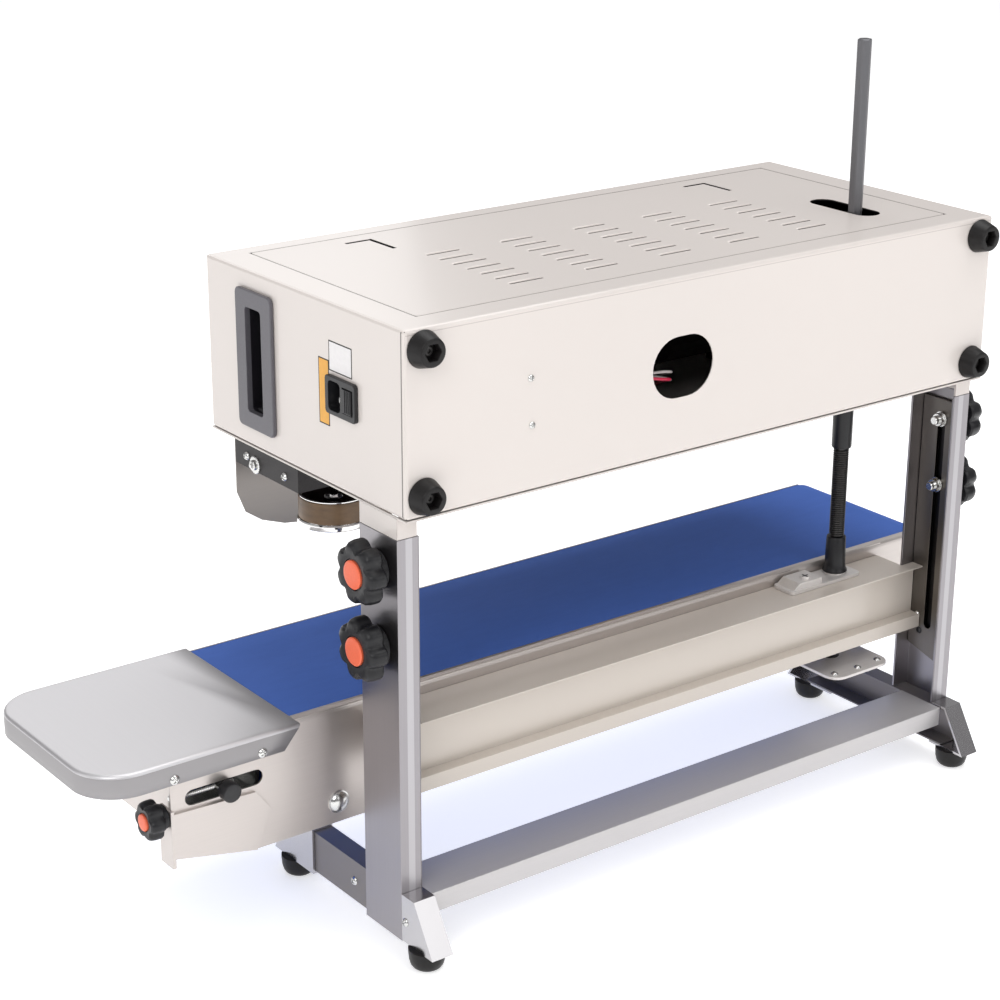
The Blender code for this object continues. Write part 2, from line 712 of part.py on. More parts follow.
def pressing_block(name, side, left, right, surface):
    """A heating or cooling block: a bar behind the band's working run, on two posts from the mount."""
    towards_nip = -1 if side == "rear" else 1
    face = WHEEL_Y[side] + towards_nip * (WHEEL_RADIUS - 0.0003)
    back = face - towards_nip * 0.015
    made = box(name, (left, min(face, back), 0.3125), (right, max(face, back), 0.3315))
    middle = (face + back) / 2
    for x in (left + 0.012, right - 0.012):
        join(made, turned("post", (x, middle, 0.330), (x, middle, BLOCK_BOTTOM - GAP), 0.004, sides=16))
    finish(made, surface)


# ---------------------------------------------------------------- legs, slide plates and clamp knobs
def leg(name, side):
    profile = leg_profile(LEG_OUTER, LEG_SHEET, LEG_FLANGE, LEG_FRONT, LEG_REAR)
    if side < 0:
        profile = mirrored(profile)
    made = plate(name, profile, "Z", LEG_FLANGE_BOTTOM, LEG_TOP)
    ends = sorted((side * LEG_WEB_INNER, side * LEG_OUTER))
    join(
        made,
        box("tongue", (ends[0], LEG_FRONT, LEG_WEB_BOTTOM), (ends[1], LEG_REAR, LEG_FLANGE_BOTTOM + 0.004)),
    )
    for z in CLAMP_Z:
        cut(
            made,
            turned(
                "bolt_hole",
                (side * (LEG_OUTER - 0.01), LEG_MIDDLE, z),
                (side * (LEG_OUTER + 0.01), LEG_MIDDLE, z),
                CLAMP_BOLT_RADIUS + RUNNING,
                sides=20,
            ),
        )
    finish(made, material(name + "_aluminium", *ALUMINIUM))


def slide_plate(name, side):
    """A plate that rises and sinks inside the leg, slant at its foot, with the clamp bolts' long slot."""
    slot = obround(
        (LEG_MIDDLE - SLIDE_SLOT_WIDTH / 2, SLIDE_SLOT_BOTTOM),
        (LEG_MIDDLE + SLIDE_SLOT_WIDTH / 2, SLIDE_SLOT_TOP),
    )
    ends = sorted((side * SLIDE_INNER, side * SLIDE_OUTER))
    front, rear = LEG_FRONT + LEG_SHEET + 0.0005, LEG_REAR - LEG_SHEET - 0.0005
    outline = [(front, SLIDE_FRONT_FOOT), (rear, SLIDE_REAR_FOOT), (rear, SLIDE_TOP), (front, SLIDE_TOP)]
    made = plate(name, outline, "X", *ends, [slot])
    finish(made, material(name + "_aluminium", (0.60, 0.60, 0.58), 0.35, 1.0))


def star(centre, radius, lobes, depth, steps):
    """The outline of a lobed hand knob."""
    loop = []
    for step in range(lobes * steps):
        angle = 2 * math.pi * (step + 0.37) / (lobes * steps)
        reach = radius - depth * (0.5 - 0.5 * math.cos(lobes * angle)) ** 2
        loop.append((centre[0] + reach * math.cos(angle), centre[1] + reach * math.sin(angle)))
    return loop


def hand_knob(name, side, face, y, z, radius, lobes, depth, thick, neck, bolt_radius, bolt_end):
    """A lobed knob with a round cap, a neck against the sheet at face, and its bolt through the sheet."""
    near = face + side * neck
    far = near + side * thick
    made = plate(name, star((y, z), radius, lobes, depth, 4), "X", min(near, far), max(near, far))
    soften(made, radius * 0.09, 1)
    join(made, turned("neck", (face, y, z), (near + side * 0.001, y, z), radius * 0.62, sides=18))
    join(
        made, turned("cap", (far - side * 0.002, y, z), (far + side * 0.0012, y, z), radius * 0.45, sides=20)
    )
    join(made, turned("bolt", (face + side * 0.001, y, z), (bolt_end, y, z), bolt_radius, sides=20))
    return made


def clamp_knob(name, side, z):
    face = side * (LEG_OUTER + GAP)
    inner_washer = side * (SLIDE_INNER - GAP)
    made = hand_knob(
        name, side, face, LEG_MIDDLE, z, KNOB_RADIUS, KNOB_LOBES, KNOB_LOBE_DEPTH,
        0.0160, 0.0070, CLAMP_BOLT_RADIUS, inner_washer - side * 0.004,
    )
    join(
        made,
        turned(
            "washer",
            (inner_washer, LEG_MIDDLE, z),
            (inner_washer - side * 0.0015, LEG_MIDDLE, z),
            0.0085,
            sides=14,
        ),
    )
    join(
        made,
        turned(
            "nut",
            (inner_washer - side * 0.001, LEG_MIDDLE, z),
            (inner_washer - side * 0.0065, LEG_MIDDLE, z),
            0.0068,
            sides=6,
        ),
    )
    finish(made, material(name + "_plastic", *BLACK_PLASTIC), (face, LEG_MIDDLE, z))


# ---------------------------------------------------------------- conveyor
def cross_beam():
    """A folded beam between the slide plates: wide top, web set back, open to the rear, down-turned lip."""
    sheet = BEAM_SHEET
    rear_sheet = BEAM_SHEET - 0.0002
    front = SIDE_REAR + GAP
    profile = [
        (front, BEAM_TOP),
        (front, BEAM_TOP - sheet),
        (BEAM_WEB_Y - sheet, BEAM_TOP - sheet),
        (BEAM_WEB_Y - sheet, BEAM_FLANGE_Z - sheet),
        (BEAM_REAR - sheet, BEAM_FLANGE_Z - sheet),
        (BEAM_REAR - sheet, BEAM_BOTTOM),
        (BEAM_REAR, BEAM_BOTTOM),
        (BEAM_REAR, BEAM_FLANGE_Z),
        (BEAM_WEB_Y, BEAM_FLANGE_Z),
        (BEAM_WEB_Y, BEAM_TOP - rear_sheet),
        (BEAM_REAR, BEAM_TOP - rear_sheet),
        (BEAM_REAR, BEAM_TOP),
    ]
    reach = SLIDE_INNER - GAP
    made = plate("cross_beam", profile, "X", -reach, reach)
    for side in (-1, 1):
        ends = sorted((side * BEAM_NOTCH_X, side * (reach + 0.01)))
        cut(
            made,
            box(
                "notch",
                (ends[0], front - 0.01, BEAM_TOP - 0.01),
                (ends[1], LEG_FRONT + LEG_SHEET + 0.0006, BEAM_TOP + 0.01),
            ),
        )
    cut(made, turned("shaft_hole", (ROD_X, ROD_Y, BEAM_TOP - 0.01), (ROD_X, ROD_Y, BEAM_TOP + 0.01), 0.0075))
    finish(made, material("beam_paint", (0.72, 0.69, 0.62), 0.35))


def side_outline():
    """The side plate from the end: shallow behind the beam, deep and cut back at the tray end."""
    lip = BELT_TOP + 0.0002
    return [
        (SIDE_RIGHT, SIDE_BOTTOM),
        (DEEP_START - 0.012, SIDE_BOTTOM),
        (DEEP_START, DEEP_BOTTOM),
        (0.3870, DEEP_BOTTOM),
        (SIDE_LEFT, 0.1034),
        (SIDE_LEFT, 0.1640),
        (0.4540, lip - 0.006),
        (LIP_RIGHT, lip - 0.006),
        (SIDE_RIGHT, ROLLER_Z + 0.006),
    ]


def side_holes():
    holes = [circle((x, ROLLER_Z), ROLLER_SHAFT_RADIUS + RUNNING, 20) for x in (DRIVE_X, END_X)]
    holes.append(obround((0.3790, ROLLER_Z - 0.0065), (0.4472, ROLLER_Z + 0.0065)))
    return holes


def folded_lip(outer, inwards):
    """The rounded top edge of a side plate, folded in to the belt's edge."""
    top = BELT_TOP + 0.0002
    radius = 0.0055
    centre = (outer + inwards * radius, top - radius)
    first, last = (0, 90) if inwards < 0 else (180, 90)
    bend = arc(centre, radius, first, last, 4)
    inside = arc(centre, radius - SIDE_SHEET, first, last, 4)
    foot = [(outer, centre[1] - 0.002)]
    inner_foot = [(outer + inwards * SIDE_SHEET, centre[1] - 0.002)]
    return foot + bend + list(reversed(inside)) + inner_foot


def conveyor_frame():
    """Two side plates, the deck under the belt and the pressed tensioner ends, as one folded frame."""
    made = plate("conveyor_frame", side_outline(), "Y", SIDE_REAR - SIDE_SHEET, SIDE_REAR, side_holes())
    join(made, plate("front_side", side_outline(), "Y", SIDE_FRONT, SIDE_FRONT + SIDE_SHEET, side_holes()))
    for outer, inwards in ((SIDE_REAR, -1), (SIDE_FRONT, 1)):
        join(made, plate("lip", folded_lip(outer, inwards), "X", LIP_RIGHT + 0.0010, 0.4535))
    deck_top = BELT_TOP - BELT_THICK - GAP
    for left, right in (
        (DRIVE_X + ROLLER_RADIUS + 0.004, 0.3640),
        (END_X + ROLLER_RADIUS + 0.003, DRIVE_X - ROLLER_RADIUS - 0.003),
    ):
        join(
            made,
            box(
                "deck",
                (left, SIDE_FRONT + SIDE_SHEET / 2, deck_top - 0.0016),
                (right, SIDE_REAR - SIDE_SHEET / 2, deck_top),
            ),
        )
    proud = 0.0025
    step = [
        (0.3870, DEEP_BOTTOM + 0.0005),
        (SIDE_LEFT, 0.1039),
        (SIDE_LEFT, 0.1415),
        (0.3870, 0.1390),
        (0.3740, 0.1220),
    ]
    for outer, outwards in ((SIDE_REAR, 1), (SIDE_FRONT, -1)):
        ends = sorted((outer - outwards * 0.0005, outer + outwards * proud))
        join(made, plate("tensioner", step, "Y", *ends))
        flange = sorted((outer + outwards * proud, outer - outwards * 0.0160))
        ear = plate(
            "ear",
            rectangle((flange[0], 0.0960), (flange[1], 0.1440)),
            "X",
            SIDE_LEFT - 0.0015,
            SIDE_LEFT + 0.0015,
            [circle((ear_y(outer, outwards), TENSION_Z), 0.003 + RUNNING, 20)],
        )
        join(made, ear)
    finish(made, material("frame_steel", (0.66, 0.63, 0.58), 0.3, 0.6))


def ear_y(outer, outwards):
    return outer - outwards * (SIDE_REAR - TENSION_Y)


def roller(name, x, shaft_front, shaft_rear, shaft_radius):
    """A tube with a web in its middle, on a shaft."""
    body_front, body_rear = SIDE_FRONT + SIDE_SHEET + 0.0095, SIDE_REAR - SIDE_SHEET - 0.0095
    middle = (body_front + body_rear) / 2
    made = turned(name, (x, body_front, ROLLER_Z), (x, body_rear, ROLLER_Z), ROLLER_RADIUS, sides=28)
    for end, outwards in ((body_front, -1), (body_rear, 1)):
        web_face = (x, middle + outwards * 0.012, ROLLER_Z)
        cut(
            made,
            turned("bore", web_face, (x, end + outwards * 0.01, ROLLER_Z), ROLLER_RADIUS - 0.003, sides=28),
        )
    join(made, turned("shaft", (x, shaft_front, ROLLER_Z), (x, shaft_rear, ROLLER_Z), shaft_radius, sides=20))
    return made


def rollers():
    surface = material("roller_steel", *STEEL)
    gear_front, gear_back = ROD_Y - BEVEL_RADIUS + 0.0020, SIDE_REAR + GAP
    drive = roller("drive_roller", DRIVE_X, SIDE_FRONT - 0.002, gear_back + 0.002, ROLLER_SHAFT_RADIUS)
    join(
        drive,
        turned(
            "bevel",
            (DRIVE_X, gear_back, ROLLER_Z),
            (DRIVE_X, gear_front, ROLLER_Z),
            BEVEL_RADIUS + 0.0008,
            BEVEL_RADIUS - 0.0026,
            24,
        ),
    )
    finish(drive, surface, (DRIVE_X, SIDE_REAR, ROLLER_Z))
    end = roller("end_roller", END_X, SIDE_FRONT - 0.002, SIDE_REAR + 0.002, ROLLER_SHAFT_RADIUS)
    finish(end, material("end_roller_steel", *STEEL), (END_X, SIDE_REAR, ROLLER_Z))
    tail = roller("tail_roller", TAIL_X, SIDE_FRONT - 0.003, SIDE_REAR + 0.0130, 0.0055)
    join(
        tail,
        turned(
            "nut",
            (TAIL_X, SIDE_REAR + 0.0040, ROLLER_Z),
            (TAIL_X, SIDE_REAR + 0.0125, ROLLER_Z),
            0.0075,
            sides=18,
        ),
    )
    finish(tail, material("tail_roller_steel", *STEEL), (TAIL_X, SIDE_REAR, ROLLER_Z))


def conveyor_belt():
    inner = ROLLER_RADIUS + BELT_CLEARANCE
    made = plate(
        "conveyor_belt",
        stadium(END_X, TAIL_X, ROLLER_Z, inner + BELT_THICK, 16),
        "Y",
        BELT_FRONT,
        BELT_REAR,
        [stadium(END_X, TAIL_X, ROLLER_Z, inner, 16)],
    )
    finish(made, material("belt_blue", (0.05, 0.11, 0.35), 0.6))


def tray():
    """The receiving tray: a flat sheet with round corners and a down-turned rim, held by two bosses."""
    low, high = (TRAY_START - 0.02, TRAY_FRONT), (TRAY_END, TRAY_REAR)
    bottom = TRAY_TOP - TRAY_RIM
    made = plate("tray", tray_outline(low, high, TRAY_CORNER), "Z", bottom, TRAY_TOP)
    soften(made, 0.0040, 3)
    sheet = TRAY_SHEET
    inner = tray_outline(
        (low[0] - 0.02, low[1] + sheet), (high[0] - sheet, high[1] - sheet), TRAY_CORNER - sheet
    )
    cut(made, plate("inside", inner, "Z", bottom - 0.01, TRAY_TOP - sheet))
    mouth = [
        (TRAY_START - 0.05, TRAY_TOP + 0.01),
        (TRAY_START, TRAY_TOP + 0.01),
        (TRAY_START, TRAY_TOP - 0.004),
        (TRAY_START + 0.009, TRAY_TOP - 0.012),
        (TRAY_START + 0.009, bottom - 0.01),
        (TRAY_START - 0.05, bottom - 0.01),
    ]
    cut(made, plate("mouth", mouth, "Y", TRAY_FRONT - 0.01, TRAY_REAR + 0.01))
    for x in TRAY_BOSS_X:
        join(
            made,
            box(
                "boss",
                (x - 0.004, SIDE_REAR + GAP, TRAY_BOSS_Z - 0.003),
                (x + 0.004, TRAY_REAR - sheet * 0.6, TRAY_BOSS_Z + 0.003),
            ),
        )
    finish(made, material("tray_steel", (0.70, 0.70, 0.71), 0.3, 1.0))


def tray_outline(low, high, radius):
    right, bottom, top = high[0] - radius, low[1] + radius, high[1] - radius
    return (
        [(low[0], low[1])]
        + arc((right, bottom), radius, 270, 360, 6)
        + arc((right, top), radius, 0, 90, 6)
        + [(low[0], high[1])]
    )


def tension_knob():
    face = TENSION_FLANGE_X + 0.0015 + GAP
    made = hand_knob(
        "tension_knob", 1, face, TENSION_Y, TENSION_Z, 0.0155, 6, 0.0025, 0.0130, 0.0050, 0.0030, 0.4560
    )
    finish(made, material("tension_knob_plastic", *BLACK_PLASTIC), (face, TENSION_Y, TENSION_Z))


# ---------------------------------------------------------------- drive line from head to conveyor
def drive_line():
    """Hex rod, two couplings, the coil between them and the round shaft with its bevel gear."""
    hex_radius = ROD_ACROSS_FLATS / math.sqrt(3)
    pivot = (ROD_X, ROD_Y, UPPER_COUPLING[0])
    rod = turned(
        "hex_rod", (ROD_X, ROD_Y, UPPER_COUPLING[1] + GAP), (ROD_X, ROD_Y, ROD_TOP), hex_radius, sides=6
    )
    soften(rod, 0.0008, 1)
    finish(rod, material("rod_steel", (0.30, 0.31, 0.32), 0.4, 0.9), pivot)

    upper = turned(
        "upper_coupling", (ROD_X, ROD_Y, UPPER_COUPLING[0]), (ROD_X, ROD_Y, UPPER_COUPLING[1]), 0.0088, 0.0090
    )
    soften(upper, 0.0008, 1)
    finish(upper, material("upper_coupling_black", *BLACK_PLASTIC), pivot)

    coil = turned(
        "flexible_shaft",
        (ROD_X, ROD_Y, LOWER_COUPLING_TOP + GAP),
        (ROD_X, ROD_Y, UPPER_COUPLING[0] - GAP),
        0.0063,
        sides=14,
    )
    pitch = (UPPER_COUPLING[0] - LOWER_COUPLING_TOP) / (COIL_RIBS + 1)
    for rib in range(1, COIL_RIBS + 1):
        z = LOWER_COUPLING_TOP + rib * pitch
        join(
            coil,
            turned(
                "rib", (ROD_X, ROD_Y, z - pitch * 0.28), (ROD_X, ROD_Y, z + pitch * 0.28), 0.0070, sides=14
            ),
        )
    finish(coil, material("coil_steel", *DARK_METAL), pivot)

    foot_top = BEAM_TOP + GAP + BEARING_HEIGHT + GAP
    lower = turned(
        "lower_coupling", (ROD_X, ROD_Y, foot_top), (ROD_X, ROD_Y, LOWER_COUPLING_TOP), 0.0100, 0.0088
    )
    finish(lower, material("lower_coupling_black", *BLACK_PLASTIC), pivot)

    shaft = turned(
        "drive_shaft",
        (ROD_X, ROD_Y, DRIVE_SHAFT_BOTTOM),
        (ROD_X, ROD_Y, foot_top - GAP),
        DRIVE_SHAFT_RADIUS,
        sides=20,
    )
    gear_top = ROLLER_Z - BEVEL_RADIUS + 0.0020
    join(
        shaft,
        turned(
            "bevel",
            (ROD_X, ROD_Y, gear_top - 0.0055),
            (ROD_X, ROD_Y, gear_top),
            BEVEL_RADIUS + 0.0008,
            BEVEL_RADIUS - 0.0026,
            24,
        ),
    )
    finish(shaft, material("shaft_steel", *STEEL), pivot)


def flange_bearing():
    """A bearing plate on the beam, with the shaft running in it and a clamping block beside it."""
    low = BEAM_TOP + GAP
    bore = circle((ROD_X, ROD_Y), DRIVE_SHAFT_RADIUS + RUNNING, 20)
    outline = rounded_rectangle((ROD_X - 0.0185, ROD_Y - 0.0105), (ROD_X + 0.0665, ROD_Y + 0.0155), 0.004, 3)
    made = plate("flange_bearing", outline, "Z", low, low + 0.0030, [bore])
    join(made, plate("boss", circle((ROD_X, ROD_Y), 0.0100), "Z", low + 0.001, low + BEARING_HEIGHT, [bore]))
    block_top = low + CLAMP_HEIGHT
    profile = [
        (ROD_X + 0.0290, low + 0.002),
        (ROD_X + 0.0645, low + 0.002),
        (ROD_X + 0.0560, block_top),
        (ROD_X + 0.0290, block_top),
    ]
    join(made, plate("block", profile, "Y", ROD_Y - 0.0085, ROD_Y + 0.0135))
    screw = (ROD_X + 0.0430, ROD_Y + 0.0060)
    join(made, turned("screw", (*screw, block_top - 0.001), (*screw, block_top + 0.0025), 0.0045, sides=14))
    finish(made, material("bearing_metal", (0.68, 0.68, 0.69), 0.35, 1.0))


def lower_plate():
    """The plate under the conveyor that steadies the shaft's lower end, hung from the frame by two straps."""
    low, high = LOWER_PLATE_Z
    outline = rounded_rectangle((ROD_X - 0.036, ROD_Y - 0.014), (ROD_X + 0.036, ROD_Y + 0.044), 0.013, 5)
    made = plate(
        "lower_bearing_plate",
        outline,
        "Z",
        low,
        high,
        [circle((ROD_X, ROD_Y), DRIVE_SHAFT_RADIUS + RUNNING, 20)],
    )
    for side in (-1, 1):
        x = ROD_X + side * 0.0295
        join(
            made,
            box(
                "strap",
                (x - 0.005, SIDE_REAR + GAP, high - 0.001),
                (x + 0.005, SIDE_REAR + GAP + 0.002, 0.1420),
            ),
        )
    finish(made, material("plate_steel", (0.64, 0.64, 0.63), 0.35, 1.0))


# ---------------------------------------------------------------- base
def foot_rail(name, side):
    inner, outer, sheet = RAIL_OUTER - RAIL_WIDTH, RAIL_OUTER, RAIL_SHEET
    profile = [
        (inner, RAIL_BOTTOM),
        (outer, RAIL_BOTTOM),
        (outer, RAIL_TOP),
        (inner, RAIL_TOP),
        (inner, RAIL_TOP - sheet),
        (outer - sheet, RAIL_TOP - sheet),
        (outer - sheet, RAIL_BOTTOM + sheet),
        (inner, RAIL_BOTTOM + sheet),
    ]
    if side < 0:
        profile = mirrored(profile)
    made = plate(name, profile, "Y", RAIL_FRONT, RAIL_REAR)
    finish(made, material(name + "_steel", (0.62, 0.62, 0.63), 0.3, 1.0))


def rear_crossbar():
    sheet = CROSSBAR_SHEET
    front = -CROSSBAR_DEPTH
    profile = [
        (front, CROSSBAR_BOTTOM),
        (front, CROSSBAR_TOP),
        (0, CROSSBAR_TOP),
        (0, CROSSBAR_BOTTOM),
        (-sheet, CROSSBAR_BOTTOM),
        (-sheet, CROSSBAR_TOP - sheet),
        (front + sheet, CROSSBAR_TOP - sheet),
        (front + sheet, CROSSBAR_BOTTOM),
    ]
    reach = RAIL_OUTER - RAIL_WIDTH - GAP
    made = plate("rear_crossbar", profile, "X", -reach, reach)
    finish(made, material("crossbar_steel", (0.62, 0.62, 0.63), 0.28, 1.0))


def corner_bracket(name, side, start, flat_end, toe, outwards):
    """A folded corner with a side cheek, a flat top, a slanting end and a floor, open towards the middle."""
    low, high, sheet = BRACKET_BOTTOM, BRACKET_TOP, BRACKET_SHEET
    outline = [(start, low), (toe, low), (flat_end, high), (start, high)]
    run, drop = abs(toe - flat_end), high - low
    shift = sheet * math.hypot(run, drop) / drop
    slope = run / drop

    def inner_y(z):
        return flat_end + outwards * ((high - z) * slope - shift)

    inner = [
        (start - outwards * 0.02, low + sheet),
        (inner_y(low + sheet), low + sheet),
        (inner_y(high - sheet), high - sheet),
        (start - outwards * 0.02, high - sheet),
    ]
    ends = sorted((side * BRACKET_INNER, side * LEG_OUTER))
    made = plate(name, outline, "X", *ends)
    hollow = sorted((side * (BRACKET_INNER - 0.01), side * (LEG_OUTER - sheet)))
    cut(made, plate("hollow", inner, "X", *hollow))
    finish(made, material(name + "_steel", (0.68, 0.68, 0.69), 0.25, 1.0))


def rubber_foot(name, x, y):
    made = turned(name, (x, y, 0), (x, y, BRACKET_BOTTOM - GAP), FOOT_RADIUS - 0.002, FOOT_RADIUS, 20)
    soften(made, 0.0015, 1)
    finish(made, material(name + "_rubber", *RUBBER))


# ---------------------------------------------------------------- the machine
head_housing()
top_cover()
head_base()
grip()
mains_inlet()
number = 0
for bumper_z in BUMPER_Z:
    for bumper_side in (-1, 1):
        number += 1
        bumper(f"bumper_{number}", bumper_side * BUMPER_X, bumper_z)

temperature_controller()
speed_knob()
for rocker_name, rocker_x in ROCKER_X.items():
    rocker(rocker_name, rocker_x)
drive_motor()

sealing_mount()
guard_plate()
for belt_side, belt_y in WHEEL_Y.items():
    sealing_wheel(f"drive_wheel_{belt_side}", DRIVE_WHEEL_X, belt_y)
    sealing_wheel(f"idler_wheel_{belt_side}", IDLER_WHEEL_X[belt_side], belt_y)
    sealing_belt(f"sealing_belt_{belt_side}", IDLER_WHEEL_X[belt_side], belt_y)
    pressing_block(
        f"heating_block_{belt_side}", belt_side, *HEATING_X, material(f"heater_{belt_side}", *BRASS)
    )
    pressing_block(
        f"cooling_block_{belt_side}", belt_side, *COOLING_X, material(f"cooler_{belt_side}", *ALUMINIUM)
    )

for leg_name, leg_side in (("left", 1), ("right", -1)):
    leg(f"leg_{leg_name}", leg_side)
    slide_plate(f"slide_plate_{leg_name}", leg_side)
    foot_rail(f"foot_rail_{leg_name}", leg_side)
    for place, knob_z in zip(("upper", "lower"), CLAMP_Z):
        clamp_knob(f"clamp_knob_{leg_name}_{place}", leg_side, knob_z)
    corner_bracket(f"corner_bracket_{leg_name}_rear", leg_side, LEG_REAR + GAP, 0.0055, OVERALL_REAR, 1)
    corner_bracket(f"corner_bracket_{leg_name}_front", leg_side, -0.1400, -0.1755, -0.2000, -1)
    for place, foot_y in zip(("rear", "front"), FOOT_Y):
        rubber_foot(f"rubber_foot_{leg_name}_{place}", leg_side * FOOT_X, foot_y)

cross_beam()
conveyor_frame()
rollers()
conveyor_belt()
tray()
tension_knob()
drive_line()
flange_bearing()
lower_plate()
rear_crossbar()
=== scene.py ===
"""Looks for the continuous band sealer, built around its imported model.

Metres, +Z up. Measures are given in the machine's own frame, as in the CAD: x = 0 in the middle of
the head, y = 0 on its rear face (the front faces -Y) and z = 0 on the floor. ORIGIN moves them to
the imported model's frame.
"""

import math

import bmesh
import bpy
from mathutils import Matrix, Vector

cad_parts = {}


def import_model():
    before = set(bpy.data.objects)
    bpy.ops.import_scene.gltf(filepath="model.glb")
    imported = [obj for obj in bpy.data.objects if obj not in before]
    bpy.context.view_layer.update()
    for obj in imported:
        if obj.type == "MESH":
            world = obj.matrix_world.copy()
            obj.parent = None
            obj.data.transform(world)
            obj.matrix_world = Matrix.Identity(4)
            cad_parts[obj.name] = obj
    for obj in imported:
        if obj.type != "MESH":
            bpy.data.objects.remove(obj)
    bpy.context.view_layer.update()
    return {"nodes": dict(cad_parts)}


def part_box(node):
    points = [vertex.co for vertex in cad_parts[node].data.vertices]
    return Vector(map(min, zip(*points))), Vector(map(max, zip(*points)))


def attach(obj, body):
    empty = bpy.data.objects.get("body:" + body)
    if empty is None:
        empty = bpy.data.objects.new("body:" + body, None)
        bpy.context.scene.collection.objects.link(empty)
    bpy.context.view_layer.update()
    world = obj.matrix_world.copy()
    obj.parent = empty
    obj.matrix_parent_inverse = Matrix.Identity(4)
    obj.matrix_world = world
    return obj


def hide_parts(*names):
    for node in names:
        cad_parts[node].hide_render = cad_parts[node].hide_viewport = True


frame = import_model()

HOUSING_LOW, HOUSING_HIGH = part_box("head_housing")
ORIGIN = Vector(((HOUSING_LOW.x + HOUSING_HIGH.x) / 2, HOUSING_HIGH.y, 0))
CADS = frame["nodes"]
X, Y, Z = Vector((1, 0, 0)), Vector((0, 1, 0)), Vector((0, 0, 1))
MM = 0.001


def span(node):
    """A CAD node's lowest and highest corners and its middle in the machine's frame."""
    low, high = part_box(node)
    low, high = low - ORIGIN, high - ORIGIN
    return low, high, (low + high) / 2


HEAD_LOW, HEAD_HIGH, _ = span("head_housing")
FACE_X = HEAD_HIGH.x  # the end panel with grip and inlet
PANEL_Y = HEAD_LOW.y  # the front panel with the controls
COVER_LOW, COVER_HIGH, _ = span("top_cover")
WALL = 1.5 * MM
ROD = (-0.2190, -0.0790)  # the upright drive line
PLATE_TOP = 98.5 * MM  # the bearing plate below the beam
FRAME_REAR, FRAME_FRONT = -0.0910, -0.2550  # the outer faces of the conveyor's side plates
CLAMP_Y, CLAMP_HEIGHTS = -0.0363, {"upper": 0.3220, "lower": 0.2600}  # the four clamp bolts
BAND_LOW, BAND_HIGH, BAND_THICK = 0.3140, 0.3315, 0.7 * MM  # the sealing bands
WHEEL_BOTTOM = 0.3080  # the lower edge of the four wheels' flanges
# How far out in x, to either side, the faces lie that carry fixings
MOUNT_END, RAIL_FACE, LEG_FACE, KNOB_FACE, SLIDE_INSIDE = 0.3005, 0.3032, 0.3055, 0.3058, 0.2997
GUARD_Y, GUARD_SCREW_Z = -0.2647, 0.3564  # the guard's front face and the height of its screws
TENSION_Y = -0.0985  # the rod that tightens the belt
TRAY_REAR = -0.0765  # the outer face of the tray's rear rim
TAIL_Z = 0.1500  # the tail roller's axis


